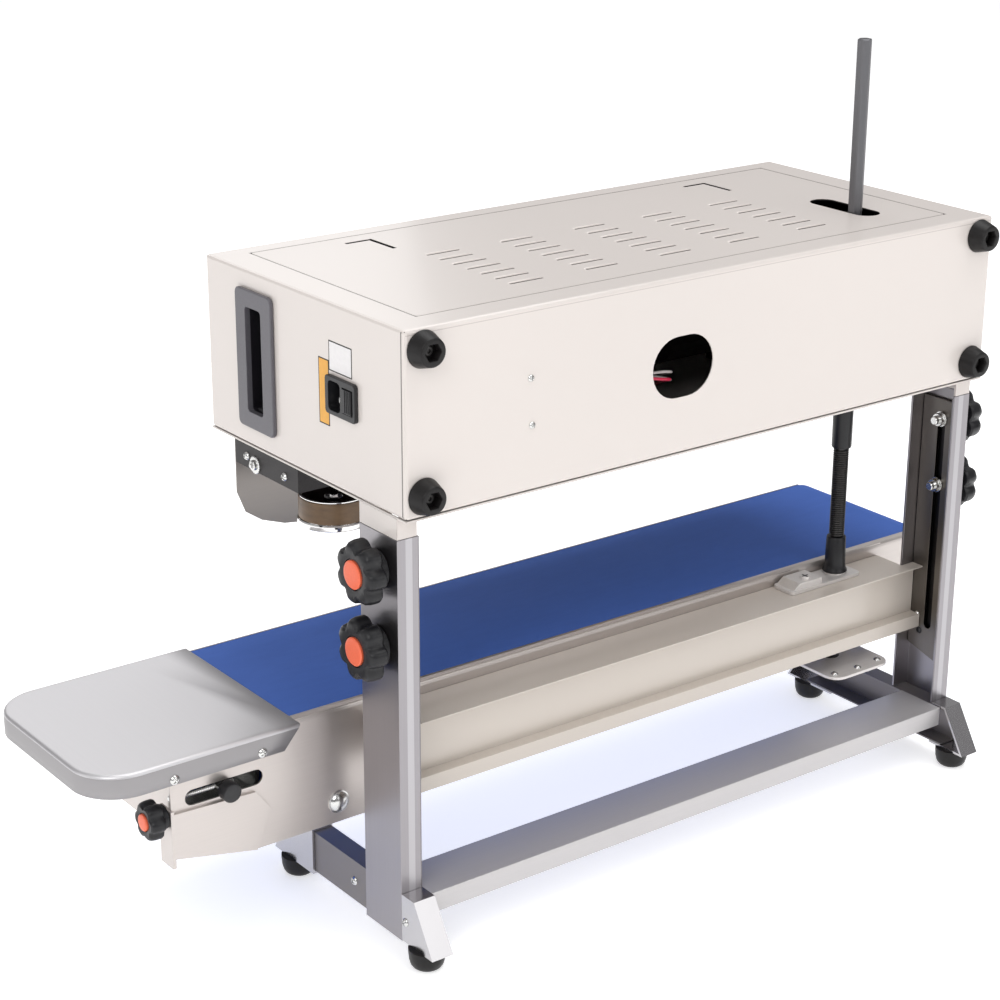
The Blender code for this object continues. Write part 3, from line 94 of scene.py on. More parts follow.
# ---------------------------------------------------------------- materials
class Look:
    """A Principled material whose colour, roughness and bump come from procedural nodes."""

    def __init__(self, name, roughness, metallic=0.0, coat=0.0, specular=0.5):
        self.material = bpy.data.materials.new(name)
        self.material.use_nodes = True
        self.tree = self.material.node_tree
        self.shader = self.tree.nodes["Principled BSDF"]
        self.shader.inputs["Metallic"].default_value = metallic
        self.shader.inputs["Roughness"].default_value = roughness
        self.shader.inputs["Coat Weight"].default_value = coat
        self.shader.inputs["Coat Roughness"].default_value = 0.12
        self.shader.inputs["Specular IOR Level"].default_value = specular
        self.place = self.node("ShaderNodeTexCoord").outputs["Object"]
        self.normal = None

    def node(self, kind, inputs=(), **settings):
        made = self.tree.nodes.new(kind)
        for name, value in settings.items():
            setattr(made, name, value)
        for name, value in dict(inputs).items():
            self.feed(made.inputs[name], value)
        return made

    def feed(self, socket, value):
        if isinstance(value, bpy.types.NodeSocket):
            self.tree.links.new(value, socket)
        else:
            socket.default_value = value

    def maths(self, operation, a, b=0.0):
        made = self.node("ShaderNodeMath", operation=operation)
        self.feed(made.inputs[0], a)
        self.feed(made.inputs[1], b)
        return made.outputs[0]

    def noise(self, scale, stretch=(1, 1, 1), detail=4.0, rough=0.55):
        """Noise of about 1 / scale metres a feature, drawn out along an axis by a small stretch value."""
        mapped = self.node("ShaderNodeMapping", {"Vector": self.place, "Scale": stretch})
        made = self.node(
            "ShaderNodeTexNoise",
            {"Vector": mapped.outputs[0], "Scale": scale, "Detail": detail, "Roughness": rough},
        )
        return made.outputs["Fac"]

    def ramp(self, factor, stops):
        made = self.node("ShaderNodeValToRGB", {"Fac": factor})
        band = made.color_ramp
        while len(band.elements) < len(stops):
            band.elements.new(0.5)
        for element, (position, colour) in zip(band.elements, stops):
            element.position = position
            element.color = (*colour, 1)
        return made.outputs[0]

    def mix(self, factor, a, b):
        made = self.node("ShaderNodeMix", data_type="RGBA")
        self.feed(made.inputs[0], factor)
        self.feed(made.inputs[6], a if isinstance(a, bpy.types.NodeSocket) else (*a, 1))
        self.feed(made.inputs[7], b if isinstance(b, bpy.types.NodeSocket) else (*b, 1))
        return made.outputs[2]

    def over(self, base, mask, strength, tone):
        """Lays a tone over a base, as strongly as given where the mask says one."""
        return self.mix(self.maths("MULTIPLY", mask, strength), base, tone)

    def colour(self, value):
        self.feed(self.shader.inputs["Base Color"], value)

    def spread(self, factor, low, high, first=0.0, last=1.0):
        inputs = {"Value": factor, "From Min": first, "From Max": last, "To Min": low, "To Max": high}
        return self.node("ShaderNodeMapRange", inputs).outputs[0]

    def roughness(self, factor, low, high):
        self.feed(self.shader.inputs["Roughness"], self.spread(factor, low, high))

    def bump(self, height, depth, strength=0.5):
        """Relief of about depth millimetres, on top of any relief given before."""
        inputs = {"Height": height, "Distance": depth * MM, "Strength": strength}
        made = self.node("ShaderNodeBump", inputs)
        if self.normal is not None:
            self.tree.links.new(self.normal, made.inputs["Normal"])
        self.normal = made.outputs[0]
        self.feed(self.shader.inputs["Normal"], self.normal)

    def axes(self):
        """Object coordinates x, y and z, counted in the machine's frame."""
        parted = self.node("ShaderNodeSeparateXYZ", {"Vector": self.place})
        return [self.maths("SUBTRACT", parted.outputs[i], ORIGIN[i]) for i in range(3)]

    def between(self, value, low, high):
        """One where value lies between low and high."""
        return self.maths(
            "MULTIPLY", self.maths("GREATER_THAN", value, low), self.maths("LESS_THAN", value, high)
        )

    def within(self, axes, low, high):
        """One inside a box whose sides, None where open, are given for x, y and z."""
        mask = 1.0
        for value, least, most in zip(axes, low, high):
            if least is not None:
                mask = self.maths("MULTIPLY", mask, self.between(value, least, most))
        return mask


def shade(colour, amount):
    return tuple(min(1.0, c * amount) for c in colour)


def mottled(look, colour, vary, scale, stretch=(1, 1, 1)):
    """Two close shades of a colour, mixed by noise, with a broad slow change over them."""
    fine = look.noise(scale, stretch)
    broad = look.noise(7.0)
    shades = look.ramp(fine, [(0.3, shade(colour, 1 - vary)), (0.7, shade(colour, 1 + vary))])
    look.colour(look.mix(look.spread(broad, 0.0, 0.4), shades, shade(colour, 1 - 1.6 * vary)))
    return fine, broad


def around(low, high, margin, bottom, top):
    """A box's low and high corners: wider than given in x and y, and from bottom to top in z."""
    return (low.x - margin, low.y - margin, bottom), (high.x + margin, high.y + margin, top)


def painted(name, colour, roughness=0.3, coat=0.35, inside=False, seam_shade=False):
    """Sprayed enamel with a fine orange peel, with painted shade on the faces inside the head and along its
    seam lines.
    """
    look = Look(name, roughness, coat=coat)
    peel = look.noise(420.0, detail=2.0)
    broad = look.noise(3.5, detail=0.0)
    base = look.ramp(broad, [(0.0, shade(colour, 0.97)), (1.0, shade(colour, 1.03))])
    if inside:
        # Painted shade: the faces inside the head go near black, and the walls of the cover's seam and of the
        # louvre slots go dark
        axes = look.axes()
        low = HEAD_LOW.z - 0.6 * MM
        hollow = look.within(axes, *around(HEAD_LOW, HEAD_HIGH, -0.6 * WALL, low, HEAD_HIGH.z - 0.6 * WALL))
        seam = around(COVER_LOW, COVER_HIGH, 1.2 * MM, HEAD_LOW.z, HEAD_HIGH.z - 0.25 * MM)
        edges = look.within(axes, *seam)
        louvres = look.within(axes, (-0.180, -0.182, HEAD_LOW.z), (0.180, -0.050, HEAD_HIGH.z))
        base = look.mix(edges, base, look.mix(louvres, (0.04, 0.035, 0.032), (0.22, 0.19, 0.18)))
        base = look.mix(hollow, base, (0.012, 0.011, 0.012))
    if seam_shade:
        # The end panels are folded over the rear panel. Painted shade: a dark line down the corner, a dark
        # line round the cover's seam and a dark line along the fold under the top
        x, y, _ = axes
        line = look.between(look.maths("ABSOLUTE", x), HEAD_HIGH.x - 0.4 * MM, HEAD_HIGH.x + MM)
        line = look.maths("MULTIPLY", line, look.between(y, -4.8 * MM, -3.4 * MM))
        base = look.over(base, line, 0.9, (0.09, 0.075, 0.07))
        seam = around(COVER_LOW, COVER_HIGH, 1.6 * MM, HEAD_HIGH.z - 0.2 * MM, HEAD_HIGH.z + MM)
        base = look.over(base, look.within(axes, *seam), 0.7, (0.14, 0.12, 0.11))
        below = HEAD_HIGH.z - 4.2 * MM
        fold = look.within(axes, (None, -0.5 * MM, below), (None, MM, below + 0.7 * MM))
        base = look.over(base, fold, 0.35, (0.25, 0.21, 0.20))
    look.colour(base)
    look.bump(peel, 0.03, 0.35)
    return look.material


def metal(
    name, colour, roughness, stretch=(1, 1, 1), lines=500.0, vary=0.05, depth=0.02, metallic=1.0, painted_light_marks=()
):
    """Metal with a grain: lines apart across the brushing, drawn out along it by a small stretch value.

    Boxes (low, high, colour, strength), mirrored in x, lay painted shade and painted highlight over the
    metal.
    """
    look = Look(name, roughness, metallic)
    grain = look.noise(lines, stretch, detail=6.0, rough=0.65)
    smudge = look.noise(12.0, detail=1.0)
    base = look.ramp(grain, [(0.25, shade(colour, 1 - vary)), (0.75, shade(colour, 1 + vary))])
    base = look.mix(look.spread(smudge, 0.0, 0.3), base, shade(colour, 1 - 1.4 * vary))
    if painted_light_marks:
        x, y, z = look.axes()
        axes = (look.maths("ABSOLUTE", x), y, z)
        for low, high, tone, strength in painted_light_marks:
            base = look.over(base, look.within(axes, low, high), strength, tone)
    look.colour(base)
    look.roughness(grain, max(0.04, roughness - 0.03), roughness + 0.03)
    look.bump(grain, depth, 0.4)
    return look.material


def moulded(name, colour, roughness, grain=900.0, depth=0.04, vary=0.12, specular=0.5):
    """Moulded plastic or rubber: fine spark texture and slightly uneven shine."""
    look = Look(name, roughness, specular=specular)
    fine, broad = mottled(look, colour, vary, grain)
    look.roughness(broad, roughness - 0.05, roughness + 0.06)
    look.bump(fine, depth, 0.5)
    return look.material


def woven(name, colour, roughness, pitch, along, depth=0.06, vary=0.07, axes="XY", specular=0.5):
    """Coated fabric: threads show through as two crossing sets of faint ridges."""
    look = Look(name, roughness, specular=specular)
    _, broad = mottled(look, colour, vary, 160.0, along)
    threads = {
        "Vector": look.place, "Scale": 0.5 / pitch, "Distortion": 0.35, "Detail": 1.0, "Detail Scale": 2.0
    }
    waves = [look.node("ShaderNodeTexWave", threads, bands_direction=axis).outputs["Fac"] for axis in axes]
    look.roughness(broad, roughness - 0.05, roughness + 0.06)
    look.bump(look.maths("MULTIPLY", *waves), depth, 0.5)
    look.bump(look.noise(900.0), 0.03, 0.3)
    return look.material


PAINT_COLOUR = (0.70, 0.645, 0.61)
CREAM = (0.60, 0.545, 0.49)
# Near-black painted shade for the slots of the clamp bolts
SLOT_SHADE = (0.010, 0.009, 0.009)
SLOT_Y = (CLAMP_Y - 4.6 * MM, CLAMP_Y + 4.6 * MM)  # the clamp bolts' slots
SLOT_LOW, SLOT_HIGH = (0.3002, SLOT_Y[0], 0.1185), (0.3028, SLOT_Y[1], 0.3278)
ALONG_X, ALONG_Y, ALONG_Z = (0.012, 1, 1), (1, 0.012, 1), (1, 1, 0.012)

# Painted shade inside the head on all three, and along the head's seam lines
paint_head = painted("enamel_head", PAINT_COLOUR, 0.28, inside=True, seam_shade=True)
paint_cover = painted("enamel_cover", shade(PAINT_COLOUR, 0.985), 0.30, inside=True)
paint_base = painted("enamel_base", shade(PAINT_COLOUR, 0.95), 0.34, inside=True)
paint_beam = painted("enamel_beam", shade(CREAM, 1.02), 0.30, coat=0.25)
aluminium_leg = metal(
    "anodised_leg", (0.33, 0.315, 0.33), 0.34, ALONG_Z, 700.0, 0.035, 0.01,
    painted_light_marks=[
        # Painted shade: the clamp bolts' slot in the leg, near black
        ((0.2900, SLOT_Y[0], 0.1185), (0.3050, SLOT_Y[1], 0.3390), SLOT_SHADE, 0.95),
        # Painted shade: a thin dark line down the leg near its rear
        ((0.2860, -0.0140, 0.0), (0.2868, 0.01, 0.4), (0.12, 0.11, 0.12), 0.6),
        # Painted highlight: a light strip down the leg near its rear
        ((0.2920, -0.0140, 0.0), (0.2980, 0.01, 0.4), (0.52, 0.51, 0.53), 0.6),
    ],
)
aluminium_plate = metal(
    "anodised_plate", (0.18, 0.165, 0.15), 0.38, ALONG_Z, 600.0, 0.04, 0.01, painted_light_marks=[
        # Painted shade: the slot in the slide plate, near black
        (SLOT_LOW, SLOT_HIGH, SLOT_SHADE, 0.95)
    ]
)
stainless_x = metal("stainless_bar", (0.56, 0.545, 0.55), 0.42, ALONG_X, 800.0, 0.03, 0.006, 0.5)
stainless_y = metal("stainless_rail", (0.20, 0.185, 0.185), 0.36, ALONG_Y, 800.0, 0.02, 0.002, 0.6)
stainless_plate = metal("stainless_plate", (0.74, 0.71, 0.69), 0.40, ALONG_X, 800.0, 0.04, 0.012, 0.4)
stainless_frame = metal("stainless_frame", (0.60, 0.555, 0.53), 0.34, ALONG_X, 800.0, 0.03, 0.012, 0.8)
stainless_corner = metal("stainless_corner", (0.52, 0.51, 0.52), 0.21, (1, 1, 1), 60.0, 0.015, 0.0005)
stainless_tray = metal(
    "stainless_tray", (0.65, 0.64, 0.655), 0.45, ALONG_Y, 900.0, 0.02, 0.006,
    # Painted shade: darker below 0.189 m, on the tray's rim
    painted_light_marks=[((None,) * 2 + (0.16,), (None,) * 2 + (0.1890,), (0.27, 0.26, 0.265), 0.85)],
)
stainless_guard = metal("stainless_guard", (0.27, 0.25, 0.235), 0.34, ALONG_X, 700.0, 0.02, 0.003)
chrome = metal("wheel_chrome_finish", (0.80, 0.79, 0.78), 0.09, (1, 1, 1), 60.0, 0.03, 0.004)
zinc = metal("zinc_plating", (0.66, 0.66, 0.65), 0.21, (1, 1, 1), 300.0, 0.03, 0.003)
brass = metal("heater_brass_finish", (0.72, 0.52, 0.24), 0.30, ALONG_X, 400.0, 0.08)
dark_rod = metal("blackened_rod", (0.165, 0.165, 0.175), 0.42, ALONG_Z, 500.0, 0.10, 0.02, 0.75)
dark_coil = metal("blackened_spring", (0.055, 0.053, 0.052), 0.34, (1, 1, 1), 300.0, 0.2, 0.01, 0.85)
black_steel = moulded("black_oxide", (0.014, 0.011, 0.012), 0.42, 500.0, 0.05, 0.3, 0.35)
black_plastic = moulded("black_plastic_finish", (0.014, 0.014, 0.016), 0.37, 800.0, 0.03, 0.2)
knob_plastic = moulded("knob_plastic", (0.008, 0.008, 0.010), 0.37, 700.0, 0.03, 0.25, 0.4)
rubber = moulded("rubber_finish", (0.009, 0.008, 0.008), 0.40, 600.0, 0.04, 0.2, 0.3)
orange_cap = moulded("orange_cap", (0.86, 0.150, 0.065), 0.38, 500.0, 0.02, 0.05)
dark_liner = moulded("wheel_liner", (0.030, 0.016, 0.014), 0.55, 300.0, 0.05, 0.3)
band_look = woven(
    "glass_cloth_band", (0.135, 0.078, 0.036), 0.40, 0.7 * MM, (0.3, 0.3, 1), 0.05, 0.32, "XZ"
)
belt_look = woven(
    "belt_cloth", (0.060, 0.138, 0.47), 0.70, 0.8 * MM, (0.3, 1, 1), 0.05, 0.03, "XY", 0.2
)
wire_grey = moulded("wire_grey", (0.40, 0.37, 0.36), 0.35, 300.0, 0.02)
wire_red = moulded("wire_red", (0.55, 0.015, 0.06), 0.35, 300.0, 0.02)
sticker_orange = moulded("sticker_orange", (0.80, 0.40, 0.06), 0.45, 250.0, 0.01, 0.05)
sticker_white = moulded("sticker_white", (0.80, 0.78, 0.78), 0.45, 250.0, 0.01, 0.03)
sticker_edge = moulded("sticker_edge", (0.012, 0.010, 0.010), 0.5, 250.0, 0.01)
print_dark = moulded("printed_mark", (0.03, 0.03, 0.035), 0.5, 400.0, 0.01)
print_white = moulded("printed_white", (0.75, 0.75, 0.74), 0.5, 400.0, 0.01)
button_grey = moulded("button_grey", (0.34, 0.34, 0.35), 0.4, 500.0, 0.03)
display_glass = moulded("display_window", (0.016, 0.004, 0.004), 0.12, 80.0, 0.002)


def two_tone(name, outer, inner, test, roughness):
    """Moulded plastic, with a painted shade colour where test, given the machine's axes, says one."""
    look = Look(name, roughness)
    fine, broad = look.noise(800.0), look.noise(9.0)
    base = look.ramp(fine, [(0.3, shade(outer, 0.93)), (0.7, shade(outer, 1.07))])
    look.colour(look.mix(test(look), base, inner))
    look.roughness(broad, roughness - 0.05, roughness + 0.05)
    look.bump(fine, 0.03, 0.5)
    return look.material


# Painted shade: the grip's pocket, more than 1 mm deep in the end panel, is near black
grip_look = two_tone(
    "grip_plastic_finish", (0.115, 0.110, 0.125), (0.010, 0.009, 0.012),
    lambda look: look.maths("LESS_THAN", look.axes()[0], FACE_X - 1.0 * MM), 0.36,
)


def glowing(name, colour, strength):
    """A lit display segment, slightly uneven in brightness."""
    look = Look(name, 0.3)
    fine = look.noise(400.0)
    look.colour(look.ramp(fine, [(0.3, shade(colour, 0.8)), (0.7, colour)]))
    look.feed(look.shader.inputs["Emission Color"], (*colour, 1))
    look.shader.inputs["Emission Strength"].default_value = strength
    return look.material


# The CAD slot of each finish
SLOTS = {
    "brushed_steel": (zinc, stainless_tray, stainless_frame),
    "black_plastic": (black_plastic, knob_plastic, display_glass, button_grey),
    "dark_steel": (dark_coil, dark_rod),
    "black_rubber": (rubber,),
    "wheel_chrome": (chrome,),
    "sealing_band": (dark_liner, band_look),
    "belt_blue": (belt_look,),
    "head_paint": (paint_cover,),
}
SLOT_OF = {look.name: slot for slot, looks in SLOTS.items() for look in looks}

led_red = glowing("led_red", (0.95, 0.05, 0.02), 1.2)
led_green = glowing("led_green", (0.10, 0.85, 0.12), 1.0)


# ---------------------------------------------------------------- making pieces
def linked(name, data):
    """A new object that holds data, in the scene."""
    made = bpy.data.objects.new(name, data)
    bpy.context.scene.collection.objects.link(made)
    return made


def settle(name, mesh, look, body, replaces=(), angle=35.0, slot=None):
    """Puts a mesh, drawn in the machine's frame, into the scene as a piece that rides on a body."""
    mesh.transform(Matrix.Translation(ORIGIN))
    made = linked(name, mesh)
    mesh.materials.clear()
    mesh.materials.append(look)
    mesh.shade_smooth()
    mesh.set_sharp_from_angle(angle=math.radians(angle))
    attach(made, body)
    slot = slot or SLOT_OF.get(look.name)
    if replaces:
        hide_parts(*replaces)
    return made


def piece(name, built, look, body, replaces=(), angle=35.0, slot=None):
    bmesh.ops.recalc_face_normals(built, faces=built.faces)
    mesh = bpy.data.meshes.new(name)
    built.to_mesh(mesh)
    built.free()
    return settle(name, mesh, look, body, replaces, angle, slot)


def rounded(made, width, segments=2, angle=32.0):
    """Rounds a piece's sharp edges by a width in millimetres."""
    bevel = made.modifiers.new("rounded_edges", "BEVEL")
    bevel.width = width * MM
    bevel.segments = segments
    bevel.limit_method = "ANGLE"
    bevel.angle_limit = math.radians(angle)
    bevel.use_clamp_overlap = True
    return made


def basis(axis):
    """Two directions across an axis."""
    axis = Vector(axis).normalized()
    side = (Z if abs(axis.z) < 0.9 else X).cross(axis).normalized()
    return axis, side, axis.cross(side)


def ring(built, points):
    return [built.verts.new(p) for p in points]


def skin(built, rings, closed=True, ends=(True, True)):
    """Joins rings of equally many points, and closes the first and last with a face each."""
    count = len(rings[0])
    steps = count if closed else count - 1
    for first, second in zip(rings, rings[1:]):
        for i in range(steps):
            j = (i + 1) % count
            built.faces.new((first[i], first[j], second[j], second[i]))
    if ends[0]:
        built.faces.new(list(reversed(rings[0])))
    if ends[1]:
        built.faces.new(rings[-1])


def lathe(built, centre, axis, profile, sides=40, ends=(True, True)):
    """Turns a profile round an axis: (along, radius) in millimetres, and a shape that scales it by angle."""
    axis, side, up = basis(axis)
    centre = Vector(centre)
    rings = []
    for step in profile:
        along, radius = step[0] * MM, step[1] * MM
        shape = step[2] if len(step) > 2 else None
        points = []
        for i in range(sides):
            angle = 2 * math.pi * i / sides
            reach = radius * (shape(angle) if shape else 1.0)
            points.append(centre + axis * along + (side * math.cos(angle) + up * math.sin(angle)) * reach)
        rings.append(ring(built, points))
    skin(built, rings, True, ends)
    return built


def turned(name, centre, axis, profile, sides, look, body, replaces=(), angle=35.0):
    """A piece of its own from one turned profile."""
    return piece(name, lathe(bmesh.new(), centre, axis, profile, sides), look, body, replaces, angle)


def hollow(centre, profile, sides):
    """A ring round the upright through centre, from a profile that ends where it starts."""
    built = lathe(bmesh.new(), centre, Z, profile + profile[:1], sides, (False, False))
    bmesh.ops.remove_doubles(built, verts=built.verts, dist=1e-7)
    return built


def hexagon(angle):
    """How far a hexagon's edge is from its middle, as a share of its corner's distance."""
    third = math.pi / 3
    return math.cos(third / 2) / math.cos(angle % third - third / 2)


def level(built, outline, axis, w):
    """A ring at w along an axis from a flat outline: X takes (y, z), Y takes (x, z), Z takes (x, y)."""
    return ring(built, [{"X": (w, u, v), "Y": (u, w, v), "Z": (u, v, w)}[axis] for u, v in outline])


def prism(built, outline, axis, low, high):
    """A flat outline made thick along an axis."""
    skin(built, [level(built, outline, axis, w) for w in (low, high)])
    return built


def block(built, low, high):
    outline = [(low[0], low[1]), (high[0], low[1]), (high[0], high[1]), (low[0], high[1])]
    return prism(built, outline, "Z", low[2], high[2])


def boxes(name, look, body, origin, sizes, edge=0.0):
    """A piece of boxes, each from its low corner to its high one in millimetres from origin."""
    built = bmesh.new()
    for size in sizes:
        block(built, origin + Vector(size[:3]) * MM, origin + Vector(size[3:]) * MM)
    made = piece(name, built, look, body)
    return rounded(made, edge) if edge else made


def window(middle, half_x, half_z, radius):
    """A rounded opening's outline in a panel that faces -Y, its half sides and radius in millimetres."""
    low = (middle.x - half_x * MM, middle.z - half_z * MM)
    return rounded_rectangle(low, (middle.x + half_x * MM, middle.z + half_z * MM), radius * MM)


def arc(centre, radius, first, last, steps):
    found = []
    for step in range(steps + 1):
        angle = math.radians(first + (last - first) * step / steps)
        found.append((centre[0] + radius * math.cos(angle), centre[1] + radius * math.sin(angle)))
    return found


def rounded_rectangle(low, high, radius, steps=6):
    left, right = low[0] + radius, high[0] - radius
    bottom, top = low[1] + radius, high[1] - radius
    return (
        arc((left, bottom), radius, 180, 270, steps)
        + arc((right, bottom), radius, 270, 360, steps)
        + arc((right, top), radius, 0, 90, steps)
        + arc((left, top), radius, 90, 180, steps)
    )


def frame_plate(built, outer, inner, axis, low, high):
    """A plate with one hole: both outlines have the same number of points."""
    loops = [(outer, low), (outer, high), (inner, high), (inner, low)]
    rings = [level(built, loop, axis, w) for loop, w in loops]
    skin(built, rings + [rings[0]], ends=(False, False))
    return built


def tube(built, points, radius, sides=10):
    """A round wire along points, with flat ends."""
    points = [Vector(p) for p in points]
    rings = []
    across = None
    for i, point in enumerate(points):
        before, after = points[max(i - 1, 0)], points[min(i + 1, len(points) - 1)]
        along = (after - before).normalized()
        if across is None:
            across = basis(along)[1]
        across = (across - along * across.dot(along)).normalized()
        up = along.cross(across)
        turns = [2 * math.pi * k / sides for k in range(sides)]
        rings.append(ring(built, [point + (across * math.cos(a) + up * math.sin(a)) * radius for a in turns]))
    skin(built, rings)
    return built


def smooth_path(points, steps=8):
    """A Catmull-Rom curve through points."""
    points = [Vector(p) for p in points]
    points = [2 * points[0] - points[1]] + points + [2 * points[-1] - points[-2]]
    found = []
    for a, b, c, d in zip(points, points[1:], points[2:], points[3:]):
        for step in range(steps):
            t = step / steps
            square, cube = 2 * a - 5 * b + 4 * c - d, 3 * b - a - 3 * c + d
            found.append(0.5 * (2 * b + (c - a) * t + square * t * t + cube * t ** 3))
    return found + [points[-2]]


# ---------------------------------------------------------------- fasteners
def pan_head(radius, height):
    """A pan-head screw's mesh on +Z, with a cross recess sunk into it."""
    lines = [-1, -0.94, -0.86, -0.74, -0.62, -0.55, -0.4, -0.25, -0.15, -0.09, 0]
    lines += [-v for v in reversed(lines[:-1])]
    built = bmesh.new()
    grid = []
    for s in lines:
        row = []
        for t in lines:
            x, y = s * math.sqrt(1 - t * t / 2), t * math.sqrt(1 - s * s / 2)
            r = min(1.0, math.hypot(x, y))
            z = height * (1 - 0.85 * r ** 3.2)
            arm = (abs(s) < 0.12 and abs(t) < 0.58) or (abs(t) < 0.12 and abs(s) < 0.58)
            if arm:
                z -= height * (0.62 - 0.45 * max(abs(s), abs(t)))
            row.append(built.verts.new((x * radius, y * radius, z)))
        grid.append(row)
    last = len(lines) - 1
    for i in range(last):
        for j in range(last):
            built.faces.new((grid[i][j], grid[i + 1][j], grid[i + 1][j + 1], grid[i][j + 1]))
    edge = [grid[i][0] for i in range(last)] + [grid[last][j] for j in range(last)]
    edge += [grid[i][last] for i in range(last, 0, -1)] + [grid[0][j] for j in range(last, 0, -1)]
    foot = ring(built, [(v.co.x, v.co.y, 0) for v in edge])
    for i in range(len(edge)):
        j = (i + 1) % len(edge)
        built.faces.new((edge[i], foot[i], foot[j], edge[j]))
    built.faces.new(foot)
    return built


def screw(name, point, axis, radius, look, body, height=None, turn=20.0, slot=None):
    """A pan-head screw at point, its head standing along axis; radius and height are in millimetres."""
    built = pan_head(radius * MM, (height or radius * 0.62) * MM)
    spin = Matrix.Rotation(math.radians(turn), 4, "Z")
    swing = Z.rotation_difference(Vector(axis)).to_matrix().to_4x4()
    bmesh.ops.transform(built, matrix=Matrix.Translation(Vector(point)) @ swing @ spin, verts=built.verts)
    return piece(name, built, look, body, slot=slot)


def toothed(teeth, depth):
    return lambda angle: 1.0 - depth * (0.5 + 0.5 * math.cos(teeth * angle))


# ---------------------------------------------------------------- CAD nodes that stay, with finer edges
def dress(node, look, edge, segments):
    """Gives a CAD node its finish and breaks its sharp edges."""
    obj = CADS[node]
    obj.data.materials.clear()
    obj.data.materials.append(look)
    if edge:
        weld = obj.modifiers.new("joined_points", "WELD")
        weld.merge_threshold = 0.002 * MM
        rounded(obj, edge, segments, 40.0)
        obj.modifiers["rounded_edges"].harden_normals = True


BRACKETS = " ".join(f"corner_bracket_{side}_{end}" for side in ("left", "right") for end in ("rear", "front"))
for look, edge, segments, nodes in (
    (paint_head, 0, 1, "head_housing"),
    (paint_cover, 0.3, 1, "top_cover"),
    (paint_base, 0.25, 1, "head_base"),
    (grip_look, 0.5, 2, "grip"),
    (black_plastic, 0.4, 2, "mains_inlet temperature_controller"),
    (black_plastic, 0.5, 2, "rocker_power rocker_heat"),
    (black_steel, 0.6, 2, "drive_motor"),
    (black_steel, 0.35, 2, "sealing_mount"),
    (stainless_guard, 0.25, 2, "guard_plate"),
    (brass, 0.5, 2, "heating_block_rear heating_block_front"),
    (aluminium_plate, 0.5, 2, "cooling_block_rear cooling_block_front"),
    (aluminium_leg, 0.35, 2, "leg_left leg_right"),
    (aluminium_plate, 0.3, 1, "slide_plate_left slide_plate_right"),
    (stainless_y, 0.35, 2, "foot_rail_left foot_rail_right"),
    (stainless_corner, 0, 1, BRACKETS),
    (stainless_x, 0.5, 2, "rear_crossbar"),
    (paint_beam, 0.3, 1, "cross_beam"),
    (stainless_frame, 0.25, 1, "conveyor_frame"),
    (zinc, 0.2, 1, "drive_roller end_roller tail_roller"),
    (dark_coil, 0.2, 1, "drive_shaft"),
    (dark_rod, 0.25, 2, "hex_rod"),
    (stainless_plate, 0.3, 2, "flange_bearing lower_bearing_plate"),
):
    for node in nodes.split():
        dress(node, look, edge, segments)


# ---------------------------------------------------------------- head: rear panel
def bumpers():
    for number in range(1, 5):
        node = f"bumper_{number}"
        low, high, middle = span(node)
        centre = (middle.x, low.y, middle.z)
        radius, height = (high.x - low.x) / 2 / MM, (high.y - low.y) / MM
        profile = [
            (0.0, radius - 0.3), (0.5, radius), (height - 1.0, 11.0), (height - 0.3, 10.6), (height, 9.9)
        ]
        profile += [(height - 0.1, 7.6, hexagon), (height - 0.6, 7.1, hexagon), (height - 8.5, 6.8, hexagon)]
        turned(f"rubber_{node}", centre, Y, profile, 48, rubber, "base", [node], 40)
        deep = (centre[0], high.y - 8.4 * MM, centre[2])
        socket = [(0, 3.6), (1.6, 3.6), (2.0, 3.2), (2.0, 1.8), (0.8, 1.6)]
        turned(f"{node}_screw", deep, Y, socket, 30, dark_coil, "base")


def rear_details():
    for number, (x, z) in enumerate(((0.1915, 0.4580), (0.1900, 0.4210)), 1):
        screw(f"rear_panel_screw_{number}", (x, 0, z), Y, 2.9, zinc, "base", turn=15 * number)
    tail = ((0.044, -12, 0.4335), (0.036, -24, 0.4290), (0.028, -44, 0.4200), (0.022, -66, 0.4050))
    low_tail = ((0.044, -13, 0.4270), (0.037, -26, 0.4215), (0.030, -46, 0.4130), (0.024, -68, 0.4000))
    grey_1 = ((0.100, -14, 0.4375), (0.074, -9, 0.4378), (0.056, -8, 0.4366)) + tail
    grey_2 = ((0.100, -17, 0.4345), (0.074, -12, 0.4342), (0.062, -11, 0.4330)) + low_tail
    red = ((0.100, -12, 0.4330), (0.072, -8, 0.4335), (0.056, -7, 0.4308)) + low_tail
    wires = (
        ("wire_grey_1", wire_grey, 1.15, grey_1),
        ("wire_grey_2", wire_grey, 1.15, grey_2),
        ("wire_red", wire_red, 1.25, red),
    )
    for name, look, radius, points in wires:
        path = smooth_path([(x, y * MM, z) for x, y, z in points])
        piece(name, tube(bmesh.new(), path, radius * MM), look, "base")


# ---------------------------------------------------------------- head: cover and end panel
def louvres():
    """A low pressed ridge beside each slot in the cover."""
    built = bmesh.new()
    ends = ((-1.0, 0.05), (-0.93, 0.7), (-0.85, 1.0), (0.85, 1.0), (0.93, 0.7), (1.0, 0.05))
    section = [(0.0, 0.0), (-0.2, 0.55), (-0.8, 0.85), (-1.6, 0.7), (-2.8, 0.0)]
    for x in (0.150, 0.076, 0.0, -0.074, -0.150):
        for row in range(7):
            y = -0.170 + row * 0.01825 - 1.5 * MM
            rings = []
            for share, squash in ends:
                along = x + 16.0 * share * MM
                points = [(along, y + u * MM, HEAD_HIGH.z + (v * squash or -0.03) * MM) for u, v in section]
                rings.append(ring(built, points))
            skin(built, rings)
    piece("cover_louvre_ridges", built, paint_cover, "base", angle=50)


